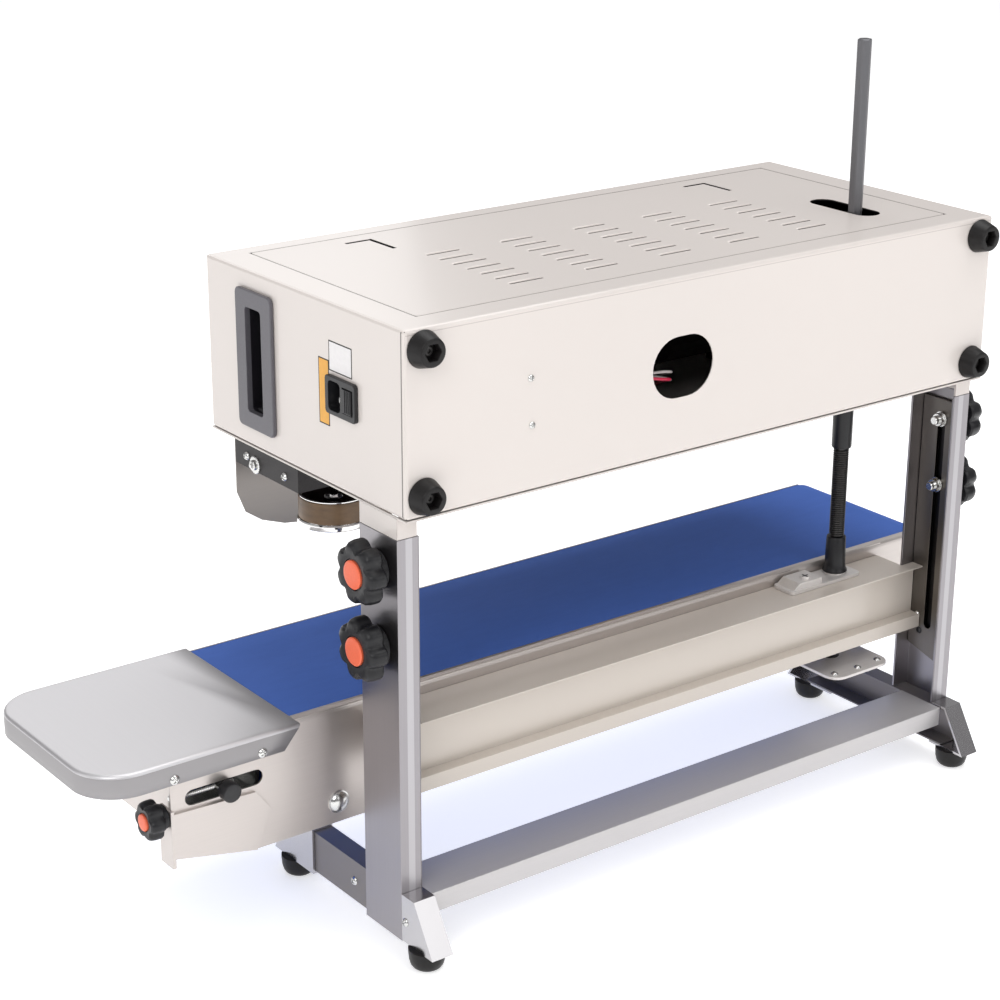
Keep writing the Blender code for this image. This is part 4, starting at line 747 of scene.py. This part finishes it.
def stickers():
    """The two blank labels beside the inlet."""
    border, proud = 1.0 * MM, FACE_X + 0.10 * MM
    for name, look, low, high in (
        ("label_orange", sticker_orange, (-0.1138, 0.4160), (-0.0994, 0.4680)),
        ("label_white", sticker_white, (-0.0992, 0.4605), (-0.0679, 0.4840)),
    ):
        outline = rounded_rectangle(low, high, 0.4 * MM, 2)
        built = prism(bmesh.new(), outline, "X", FACE_X - 0.02 * MM, proud)
        piece(name + "_border", built, sticker_edge, "base")
        low, high = (low[0] + border, low[1] + border), (high[0] - border, high[1] - border)
        outline = rounded_rectangle(low, high, 0.3 * MM, 2)
        built = prism(bmesh.new(), outline, "X", FACE_X, proud + 0.05 * MM)
        piece(name, built, look, "base")


def inlet_details():
    """Earth, live and neutral pins, and the ribs of the fuse drawer."""
    low, high, middle = span("mains_inlet")
    socket = Vector((high.x, low.y + 12.5 * MM, middle.z))
    pins = [(-18, y - 1.1, z - 2.2, -7.5, y + 1.1, z + 2.2) for y, z in ((0, 6), (-3.5, -5), (3.5, -5))]
    boxes("inlet_pins", zinc, "base", socket, pins, 0.3)
    tall = (high.z - low.z) / 2 / MM - 6.5
    ribs = [(-0.4, y - 0.5, -tall, 0.5, y + 0.5, tall) for y in (-5.2, -7.5, -9.8, -12.1)]
    boxes("inlet_drawer_ribs", black_plastic, "base", Vector((high.x, high.y, middle.z)), ribs, 0.25)
    outer = rounded_rectangle((low.y, low.z), (high.y, high.z), 3.0 * MM)
    inner = rounded_rectangle(
        (low.y + 1.4 * MM, low.z + 1.4 * MM), (high.y - 1.4 * MM, high.z - 1.4 * MM), 2.0 * MM
    )
    built = frame_plate(bmesh.new(), outer, inner, "X", FACE_X - 0.02 * MM, FACE_X + 1.2 * MM)
    rounded(piece("inlet_flange_edge", built, black_plastic, "base"), 0.4)


def grip_details():
    """The catch at the foot of the pocket."""
    _, high, middle = span("grip")
    foot = Vector((high.x, middle.y, middle.z - 42.75 * MM))
    boxes("grip_pocket_catch", black_plastic, "base", foot, [(-17, -6, 0.2, -6, 6, 3.2)], 0.8)


# ---------------------------------------------------------------- head: front panel
SEGMENTS = {"0": "abcdef", "1": "bc", "5": "acdfg", "6": "acdefg"}
# Each bar's low and high side in x and z, from the figure's edges and the bar's thickness
BARS = {
    "a": lambda w, h, t: (0, h - t, w, h),
    "g": lambda w, h, t: (0, (h - t) / 2, w, (h + t) / 2),
    "d": lambda w, h, t: (0, 0, w, t),
    "f": lambda w, h, t: (0, h / 2 + t, t, h - t),
    "b": lambda w, h, t: (w - t, h / 2 + t, w, h - t),
    "e": lambda w, h, t: (0, t, t, h / 2 - t),
    "c": lambda w, h, t: (w - t, t, w, h / 2 - t),
}


def digits(name, text, left, bottom, height, y, look):
    """Seven-segment numbers on the display, standing just proud of its window."""
    built = bmesh.new()
    width = height * 0.52
    for place, figure in enumerate(text):
        x = left + place * width * 1.45
        for key in SEGMENTS[figure]:
            x0, z0, x1, z1 = BARS[key](width, height, height * 0.11)
            block(built, (x + x0, y - 0.1 * MM, bottom + z0), (x + x1, y + 0.1 * MM, bottom + z1))
    piece(name, built, look, "base")


TICK = ((14.5, -0.35), (17.5, -0.35), (17.5, 0.35), (14.5, 0.35))  # millimetres outwards and across


def controls():
    low, high, middle = span("temperature_controller")
    face, half = low.y, (high.x - low.x) / 2 / MM
    glass = face + 2.5 * MM
    outline = window(middle + Z * 9.0 * MM, 17.4, 8.4, 1.0)
    built = prism(bmesh.new(), outline, "Y", glass - 0.2 * MM, glass + 0.6 * MM)
    piece("controller_window", built, display_glass, "base")
    for name, text, left, bottom, height, look in (
        ("controller_reading", "150", -9, 10.0, 6.2, led_red),
        ("controller_setting", "160", -7, 2.4, 4.8, led_green),
    ):
        digits(name, text, middle.x + left * MM, middle.z + bottom * MM, height * MM, glass - 0.3 * MM, look)
    for number in range(4):
        outline = window(middle + Vector((number * 9 - 13.5, 0, -11.5)) * MM, 3.2, 2.5, 1.2)
        built = prism(bmesh.new(), outline, "Y", face - 0.8 * MM, face + 0.5 * MM)
        rounded(piece(f"controller_button_{number + 1}", built, button_grey, "base"), 0.35)
    outer, inner = window(middle, half + 1.2, 25.2, 3.2), window(middle, half - 1.4, 22.6, 2.0)
    built = frame_plate(bmesh.new(), outer, inner, "Y", face + 3.4 * MM, PANEL_Y + 0.02 * MM)
    rounded(piece("controller_bezel", built, black_plastic, "base"), 0.5)

    low, high, middle = span("speed_knob")
    x, z, front, back = middle.x, middle.z, low.y, PANEL_Y - 0.3 * MM
    deep = (back - front) / MM
    flutes = toothed(24, 0.05)
    profile = [
        (0.0, 12.0), (0.6, 12.5), (2.4, 12.5), (3.2, 11.6, flutes),
        (deep - 1.8, 10.8, flutes), (deep - 0.6, 10.3), (deep, 9.2), (deep - 0.5, 8.0),
    ]
    built = lathe(bmesh.new(), (x, back, z), -Y, profile, 96)
    lathe(built, (x, back - 0.01 * MM, z), Y, [(0, 2.9), (11, 2.9)], 20)
    piece("speed_dial", built, black_plastic, "speed_knob_body", ["speed_knob"])
    pointer = [(-0.6, -0.1, 2, 0.6, 0.7, 9.2)]
    boxes("speed_dial_pointer", print_white, "speed_knob_body", Vector((x, front, z)), pointer)
    ticks = bmesh.new()
    for step in range(10):
        angle = math.radians(225 - step * 30)
        direction = Vector((-math.cos(angle), 0, math.sin(angle)))
        across = Vector((direction.z, 0, -direction.x))
        at = Vector((x, PANEL_Y, z))
        corners = [at + (direction * a + across * b) * MM for a, b in TICK]
        skin(ticks, [ring(ticks, [c + Y * depth * MM for c in corners]) for depth in (0.02, -0.08)])
        text = bpy.data.curves.new(f"dial_{step}", "FONT")
        text.body = str(step)
        text.size = 4.6 * MM
        text.align_x, text.align_y = "CENTER", "CENTER"
        text.extrude = 0.05 * MM
        drawn = linked(f"dial_{step}", text)
        bpy.context.view_layer.update()
        mesh = bpy.data.meshes.new_from_object(drawn)
        bpy.data.objects.remove(drawn)
        upright = Matrix.Rotation(math.radians(90), 4, "X")
        mesh.transform(Matrix.Translation(at + direction * 20.6 * MM) @ upright)
        settle(f"dial_number_{step}", mesh, print_dark, "base")
    piece("dial_ticks", ticks, print_dark, "base")

    for node in ("rocker_power", "rocker_heat"):
        low, high, middle = span(node)
        half = (high.x - low.x) / 2 / MM
        outer, inner = window(middle, half + 2.6, 13.6, 1.6), window(middle, half + 0.35, 11.9, 0.4)
        built = frame_plate(bmesh.new(), outer, inner, "Y", PANEL_Y - 2.0 * MM, PANEL_Y + 0.02 * MM)
        rounded(piece(node + "_bezel", built, black_plastic, "base"), 0.5)
        mark = [(-0.35, -3.05, 4.0, 0.35, -1.6, 7.5)]
        boxes(node + "_on_mark", print_white, node + "_body", Vector((middle.x, PANEL_Y, middle.z)), mark)


# ---------------------------------------------------------------- sealing unit
def mount_ends():
    """Fixings in the ends of the black mount: two pan heads and a bolt on a serrated washer."""
    for side, tag in ((1, "left"), (-1, "right")):
        face = side * MOUNT_END
        axis = X * side
        for number, (y, z) in enumerate(((-0.2315, 0.3550), (-0.1746, 0.3534)), 1):
            screw(f"mount_screw_{tag}_{number}", (face, y, z), axis, 3.6, zinc, "base", 2.6, 30 * number)
        centre = (face, -0.2186, 0.3510)
        teeth = toothed(22, 0.10)
        washer = [(0, 7.6, teeth), (1.0, 7.6, teeth), (1.4, 6.4), (1.4, 4.4), (3.4, 4.2), (3.9, 3.4)]
        turned(f"mount_bolt_{tag}", centre, axis, washer, 88, zinc, "base")
        stud = [(3.5, 2.6), (4.4, 2.6), (4.5, 1.8), (5.2, 1.8), (5.4, 1.2)]
        turned(f"mount_stud_{tag}", centre, axis, stud, 24, zinc, "base")


def wheel(node, body):
    """A chromed cup with a lip at the top, a flange below the band, and a dark lining."""
    low, high, middle = span(node)
    centre, height = (middle.x, middle.y, WHEEL_BOTTOM), 25.0
    rim, flange = 27.5, (high.x - low.x) / 2 / MM
    profile = [
        (0.0, 9.0), (0.0, flange - 1.6), (0.5, flange - 0.4), (1.3, flange), (4.6, flange),
        (5.5, flange - 0.9), (5.5, rim), (height - 1.3, rim), (height - 0.9, rim + 0.6),
        (height - 0.2, rim + 0.6), (height, rim), (height, rim - 1.6), (height - 0.5, rim - 2.2),
        (7.0, rim - 2.6), (7.0, 8.0), (21.0, 7.6), (22.0, 6.6), (22.0, 4.0), (45.0, 4.0),
    ]
    turned(node + "_cup", centre, Z, profile, 72, chrome, body, [node])
    liner = [(23.2, rim - 2.3), (23.3, rim - 3.0), (7.6, rim - 3.2), (7.3, 8.4), (7.1, 8.4), (7.1, rim - 2.7)]
    piece(node + "_lining", hollow(centre, liner, 56), dark_liner, body)
    cap = [(-0.6, 1.6), (-1.6, 3.0), (-1.6, 4.6, hexagon), (-1.0, 5.2, hexagon), (0.1, 5.2, hexagon)]
    turned(node + "_nut", centre, Z, cap, 48, zinc, body)


def band(name, node, left, right, y, radius, thick, low, high, axis, look, body, steps=40):
    """A closed band round two equal wheels, its section rounded at the edges."""
    inner, outer = radius, radius + thick
    edge = min(0.35 * thick, 0.3 * MM)
    section = [(inner, low + edge), (inner + edge, low), (outer - edge, low), (outer, low + edge)]
    section += [(outer, high - edge), (outer - edge, high), (inner + edge, high), (inner, high - edge)]
    built = bmesh.new()
    rings = []
    for centre, first in ((right, -90), (left, 90)):
        for step in range(steps + 1):
            turn = math.radians(first + 180 * step / steps)
            points = []
            for reach, along in section:
                u, v = centre + reach * math.cos(turn), y + reach * math.sin(turn)
                points.append((u, v, along) if axis == "Z" else (u, along, v))
            rings.append(ring(built, points))
    skin(built, rings + [rings[0]], ends=(False, False))
    return piece(name, built, look, body, [node])


def sealing_unit():
    cap_screw = [(0, 2.6, hexagon), (0, 4.0), (1.8, 4.0)]
    for side in ("rear", "front"):
        for kind in ("drive", "idler"):
            wheel(f"{kind}_wheel_{side}", f"{kind}_wheel_{side}_body")
        low, high, middle = span(f"sealing_belt_{side}")
        radius = (high.y - low.y) / 2 - BAND_THICK
        left, right = low.x + radius + BAND_THICK, high.x - radius - BAND_THICK
        sides = (middle.y, radius, BAND_THICK, BAND_LOW, BAND_HIGH)
        band(f"band_{side}", f"sealing_belt_{side}", left, right, *sides, "Z", band_look, "base")
        for kind in ("heating", "cooling"):
            low, high, middle = span(f"{kind}_block_{side}")
            built = bmesh.new()
            for x in (low.x + 30 * MM, middle.x, high.x - 30 * MM):
                lathe(built, (x, middle.y, low.z - 1.6 * MM), Z, cap_screw, 24)
            piece(f"{kind}_block_{side}_screws", built, dark_coil, "base")
    built = bmesh.new()
    button = [(-0.1, 5.0), (0.4, 5.0), (1.6, 3.8), (2.0, 2.0), (1.2, 1.9, hexagon)]
    for x in (-0.20, 0.0, 0.20):
        lathe(built, (x, GUARD_Y, GUARD_SCREW_Z), -Y, button, 30)
    piece("guard_screws", built, zinc, "base")


# ---------------------------------------------------------------- hand knobs
def lobed(radius, lobes, depth):
    """A knob's outline: round lobes with narrow valleys between them."""
    def reach(angle):
        valley = (0.5 - 0.5 * math.cos(lobes * angle)) ** 2
        return 1.0 - depth / radius * valley
    return reach


def knob(node, face, centre, side, radius, lobes, depth, start, thick):
    """A lobed knob with an orange cap; its radius, lobe depth, start and thickness are in millimetres."""
    y, z = centre
    body = node + "_body"
    axis = X * side
    outline = lobed(radius, lobes, depth)
    end = start + thick
    moulding = [
        (0.2, 0.60), (0.8, 0.62), (start - 0.5, 0.56), (start, 0.62), (start + 0.2, 0.86, outline),
        (start + 1.0, 0.95, outline), (start + 2.6, 1.0, outline), (start + thick * 0.55, 1.0, outline),
        (start + thick * 0.80, 0.965, outline), (start + thick * 0.93, 0.90, outline), (end, 0.80, outline),
        (end, 0.60), (end - 0.5, 0.53), (end - 0.5, 0.49), (end - 1.6, 0.47), (end - 1.8, 0.20),
    ]
    cap = [(end - 1.7, 0.44), (end + 0.2, 0.44), (end + 0.8, 0.415), (end + 1.1, 0.36), (end + 1.2, 0.2)]
    moulding = [(along, share * radius, *shape) for along, share, *shape in moulding]
    cap = [(along, share * radius) for along, share in cap]
    turned(node + "_body_moulding", (face, y, z), axis, moulding, lobes * 18, knob_plastic, body, [node], 28)
    turned(node + "_cap", (face, y, z), axis, cap, 40, orange_cap, body)


def clamp_knobs():
    for tag, side in (("left", 1), ("right", -1)):
        for place in ("upper", "lower"):
            node = f"clamp_knob_{tag}_{place}"
            centre = (CLAMP_Y, CLAMP_HEIGHTS[place])
            face = side * KNOB_FACE
            knob(node, face, centre, side, 25.5, 7, 4.6, 7.0, 16.0)
            inner = side * SLIDE_INSIDE
            built = bmesh.new()
            lathe(built, (face + side * MM, *centre), -X * side, [(0, 3.9), (17, 3.9), (17.6, 3.2)], 24)
            lathe(built, (inner, *centre), -X * side, [(0.1, 6.8), (1.5, 6.8)], 36)
            nut = [(1.6, 5.6, hexagon), (2.0, 6.0, hexagon), (5.6, 6.0, hexagon), (6.0, 5.5)]
            lathe(built, (inner, *centre), -X * side, nut, 36)
            piece(node + "_bolt", built, zinc, node + "_body")


def tension_knob():
    y, z, face = TENSION_Y, 0.1375, 0.4614
    knob("tension_knob", face, (y, z), 1, 15.5, 6, 2.6, 5.0, 13.0)
    turned("tension_knob_bolt", (face + MM, y, z), -X, [(0, 2.9), (6.6, 2.9)], 20, zinc, "tension_knob_body")


# ---------------------------------------------------------------- drive line
def drive_line():
    _, high, middle = span("hex_rod")
    x, y, rod_top = middle.x, middle.y, high.z
    low, high, _ = span("upper_coupling")
    tall, radius = (high.z - low.z) / MM, (high.x - low.x) / 2 / MM
    profile = [
        (0, radius - 1.6), (0.5, radius - 0.5), (1.4, radius - 0.1), (tall * 0.5, radius),
        (tall - 1.2, radius), (tall - 0.4, radius - 0.6), (tall, radius - 1.6),
    ]
    foot = (x, y, low.z)
    turned("coupling_upper_sleeve", foot, Z, profile, 40, knob_plastic, "drive_line", ["upper_coupling"])
    low, high, _ = span("lower_coupling")
    tall, foot = (high.z - low.z) / MM, (x, y, low.z)
    profile = [(0, 10.6), (0.6, 11.2), (1.8, 11.0), (3.4, 10.0), (8.0, 9.4)]
    profile += [(tall - 1.0, 8.7), (tall - 0.3, 8.2), (tall, 7.2)]
    turned("coupling_lower_sleeve", foot, Z, profile, 40, knob_plastic, "drive_line", ["lower_coupling"])
    low, high, _ = span("flexible_shaft")
    turns, steps, wire = 40, 22, 0.95 * MM
    path = []
    reach, rise = 7.0 * MM - wire, high.z - low.z - 2 * wire
    for step in range(turns * steps + 1):
        angle = 2 * math.pi * step / steps
        height = low.z + wire + rise * step / (turns * steps)
        path.append((x + reach * math.cos(angle), y + reach * math.sin(angle), height))
    piece("drive_coil", tube(bmesh.new(), path, wire, 7), dark_coil, "drive_line", ["flexible_shaft"], 60)
    tall = (high.z - low.z) / MM
    core = [(0, 4.9), (0.2, 5.2), (tall - 0.2, 5.2), (tall, 4.9)]
    turned("drive_coil_core", (x, y, low.z), Z, core, 24, dark_coil, "drive_line")
    mark = [(0, 1.6), (0.5, 1.6), (0.5, 1.2), (0.2, 0.4)]
    turned("rod_centre_mark", (x, y, rod_top - 0.4 * MM), Z, mark, 16, dark_rod, "drive_line")


def bearings():
    head = Vector((ROD[0] + 43.0 * MM, ROD[1] + 6.0 * MM, span("flange_bearing")[1].z))
    # Painted shade: a thin dark cross on the flange bearing's top stands in for a screw's shaded cross recess
    arms = [(-x, -y, -0.5, x, y, 0.05) for x, y in ((3.6, 0.8), (0.8, 3.6))]
    boxes("bearing_screw_recess_shade", dark_coil, "conveyor", head, arms)
    middle = span("lower_bearing_plate")[2]
    for number, (dx, dy) in enumerate(((-27, 34), (27, 34), (0, 36)), 1):
        point = (middle.x + dx * MM, ROD[1] + dy * MM, PLATE_TOP)
        screw(f"lower_plate_screw_{number}", point, Z, 3.4, zinc, "conveyor", turn=25 * number)
    bush = [(-0.1, 8.6), (0.3, 8.6), (0.5, 8.2), (0.5, 5.3), (-0.1, 5.3)]
    piece("lower_plate_bush", hollow((*ROD, PLATE_TOP), bush, 36), black_plastic, "conveyor")


# ---------------------------------------------------------------- conveyor
def conveyor_belt():
    low, high, middle = span("conveyor_belt")
    thick = 1.3 * MM
    radius = (high.z - low.z) / 2 - thick
    left, right = low.x + radius + thick, high.x - radius - thick
    sides = (middle.z, radius, thick, low.y, high.y)
    band("belt_band", "conveyor_belt", left, right, *sides, "Y", belt_look, "conveyor", 48)


def tray():
    """A sheet tray: flat top, soft folded edge, straight rim, open towards the belt."""
    low, high, _ = span("tray")
    start, end, front, top = low.x, high.x, low.y, high.z
    rim, fold, corner = 19.0 * MM, 3.5 * MM, 38.0 * MM
    levels = [(0.0, -rim), (0.0, -rim * 0.66), (0.0, -fold)]
    for k in range(1, 8):
        turn = math.radians(90 * k / 7)
        levels.append((fold * (1 - math.cos(turn)), -fold * (1 - math.sin(turn))))
    levels += [(fold + 3 * MM, 0.0), (fold + 14 * MM, 0.0)]
    built = bmesh.new()
    rings = []
    for inset, drop in levels:
        radius = corner - inset
        open_x = start + max(0.0, (-drop - MM) * 0.85)
        u, v_low, v_high = end - inset - radius, front + inset + radius, TRAY_REAR - inset - radius
        loop = [(open_x + (u - open_x) * k / 6, front + inset) for k in range(6)]
        loop += arc((u, v_low), radius, 270, 360, 14) + arc((u, v_high), radius, 0, 90, 14)
        loop += [(u + (open_x - u) * k / 6, TRAY_REAR - inset) for k in range(1, 7)]
        rings.append(ring(built, [(x, y, top + drop) for x, y in loop]))
    skin(built, rings, closed=False, ends=(False, True))
    made = piece("tray_sheet", built, stainless_tray, "conveyor", ["tray"], 40)
    solid = made.modifiers.new("sheet", "SOLIDIFY")
    solid.thickness = 1.2 * MM
    solid.offset = -1.0
    solid.use_even_offset = True
    rounded(made, 0.25, 1, 60)
    for number, x in enumerate((0.3867, 0.4626), 1):
        screw(f"tray_screw_{number}", (x, TRAY_REAR, 0.1770), Y, 4.1, zinc, "conveyor", 2.4, 20 * number)
    built = bmesh.new()
    for x in (0.3850, 0.4480):
        block(built, (x - 4 * MM, -0.0907, 0.1782), (x + 4 * MM, TRAY_REAR - 1.0 * MM, 0.1842))
    rounded(piece("tray_spacers", built, zinc, "conveyor"), 0.4)


def tail_end():
    """Tensioner details at the tray end: end cap, threaded rod in the slot, bolts and washers."""
    x, z = 0.4130, TAIL_Z
    cap = [(0, 7.4), (0.4, 8.0), (8.4, 8.0), (9.6, 7.2), (10.2, 5.0), (10.2, 2.0)]
    turned("tail_shaft_cap", (x, -0.0874, z), Y, cap, 36, black_plastic, "tail_roller_body")
    built = bmesh.new()
    pitch = 1.6
    profile = [(0, 1.8)]
    for turn in range(1, 36):
        profile += [((turn - 0.5) * pitch, 2.9), (turn * pitch, 2.2)]
    for y in (TENSION_Y, FRAME_FRONT + 7.5 * MM):
        lathe(built, (0.4570, y, z), -X, profile, 14)
    piece("tension_threads", built, zinc, "conveyor")
    dome = [(0, 9.6), (1.0, 9.6), (1.2, 8.4), (1.6, 8.2), (3.0, 7.2), (4.4, 5.2), (5.2, 2.6), (5.4, 0.8)]
    for tag, y, axis in (("rear", FRAME_REAR, Y), ("front", FRAME_FRONT, -Y)):
        turned(f"frame_dome_bolt_{tag}", (0.3105, y, 0.1065), axis, dome, 40, zinc, "conveyor")
    near = span("conveyor_belt")[1].x + 1.2 * MM
    built = block(
        bmesh.new(), (near, FRAME_FRONT + 2.2 * MM, 0.1160), (near + 1.2 * MM, FRAME_REAR - 2.2 * MM, 0.1825)
    )
    rounded(piece("tail_cross_plate", built, stainless_frame, "conveyor"), 0.3)


BEAM_SCREWS = ((-0.0494, 0.1286, zinc), (-0.0456, 0.1138, black_plastic))


def beam_details():
    """The two screws that hold the beam's lip to the far slide plate."""
    for number, (y, z, look) in enumerate(BEAM_SCREWS, 1):
        point, slot = (-0.3000, y, z), "brushed_steel"
        screw(f"beam_screw_{number}", point, X, 3.2, look, "conveyor", turn=40 * number, slot=slot)


# ---------------------------------------------------------------- base
def base_details():
    for tag, side in (("left", 1), ("right", -1)):
        face = side * LEG_FACE
        screw(f"bracket_screw_{tag}_rear", (face, -0.0060, 0.0350), X * side, 3.6, zinc, "base", turn=25)
        screw(f"rail_screw_{tag}", (side * RAIL_FACE, -0.0810, 0.0370), X * side, 3.8, zinc, "base", turn=65)
    for side in ("left", "right"):
        for place in ("rear", "front"):
            node = f"rubber_foot_{side}_{place}"
            low, high, middle = span(node)
            centre = (middle.x, middle.y, low.z)
            radius, tall = (high.x - low.x) / 2 / MM, (high.z - low.z) / MM
            profile = [
                (0, radius - 6.5), (0.3, radius - 5.0), (1.6, radius - 3.2), (4.0, radius - 1.6),
                (8.0, radius - 0.5), (tall - 3, radius), (tall, radius),
            ]
            turned(f"foot_pad_{side}_{place}", centre, Z, profile, 40, rubber, "base", [node], 50)


bumpers()
rear_details()
louvres()
stickers()
inlet_details()
grip_details()
controls()
mount_ends()
sealing_unit()
clamp_knobs()
tension_knob()
drive_line()
bearings()
conveyor_belt()
tray()
tail_end()
beam_details()
base_details()


# ---------------------------------------------------------------- camera, light and floor
def aim(obj, target, roll=0.0):
    way = Vector(target) - obj.location
    obj.rotation_mode = "QUATERNION"
    turn = way.to_track_quat("-Z", "Y")
    obj.rotation_quaternion = turn @ Matrix.Rotation(math.radians(roll), 4, "Z").to_quaternion()


def camera():
    data = bpy.data.cameras.new("camera")
    data.lens, data.sensor_width, data.sensor_fit = 83.2, 36.0, "HORIZONTAL"
    data.clip_end = 100.0
    made = linked("camera", data)
    made.location = (1.1144, 1.4271, 0.9622)
    aim(made, (0.0411, -0.0032, 0.3066), 0.22)
    bpy.context.scene.camera = made


def softbox(name, place, target, width, height, power):
    data = bpy.data.lights.new(name, "AREA")
    data.shape, data.size, data.size_y = "RECTANGLE", width, height
    data.energy = power
    made = linked(name, data)
    made.location = place
    aim(made, target)


def stage():
    built = bmesh.new()
    reach = 60.0
    corners = ring(built, [(-reach, -reach, 0), (reach, -reach, 0), (reach, reach, 0), (-reach, reach, 0)])
    built.faces.new(corners)
    mesh = bpy.data.meshes.new("floor")
    built.to_mesh(mesh)
    built.free()
    floor = linked("floor", mesh)
    look = Look("studio_floor", 0.6)
    look.colour(look.ramp(look.noise(3.0), [(0.3, (0.86, 0.86, 0.86)), (0.7, (0.88, 0.88, 0.88))]))
    look.bump(look.noise(200.0), 0.02, 0.2)
    look.feed(look.shader.inputs["Emission Color"], (1, 1, 1, 1))
    look.shader.inputs["Emission Strength"].default_value = 0.55
    mesh.materials.append(look.material)


def world():
    made = bpy.data.worlds.new("studio")
    made.use_nodes = True
    bpy.context.scene.world = made
    tree = made.node_tree
    place = tree.nodes.new("ShaderNodeTexCoord")
    parted = tree.nodes.new("ShaderNodeSeparateXYZ")
    tree.links.new(place.outputs["Generated"], parted.inputs[0])
    ramp = tree.nodes.new("ShaderNodeValToRGB")
    tree.links.new(parted.outputs["Z"], ramp.inputs[0])
    band = ramp.color_ramp
    band.elements[0].position, band.elements[0].color = 0.12, (0.30, 0.29, 0.30, 1)
    band.elements[1].position, band.elements[1].color = 0.85, (1.0, 1.0, 1.0, 1)
    tree.links.new(ramp.outputs[0], tree.nodes["Background"].inputs["Color"])
    tree.nodes["Background"].inputs["Strength"].default_value = 0.62


camera()
middle = (0.0, 0.0, 0.30)
softbox("key_light", (2.6, 1.9, 2.6), middle, 1.8, 1.8, 40)
softbox("side_fill", (3.4, -0.9, 1.2), middle, 1.8, 1.6, 12)
softbox("rear_fill", (-0.8, 3.0, 1.6), middle, 2.4, 1.6, 19)
softbox("top_light", (-0.7, 0.1, 3.0), middle, 3.0, 2.0, 43)
softbox("front_light", (-0.6, -3.0, 1.8), middle, 2.6, 1.6, 14)
stage()
world()
bpy.context.scene.view_settings.view_transform = "Standard"
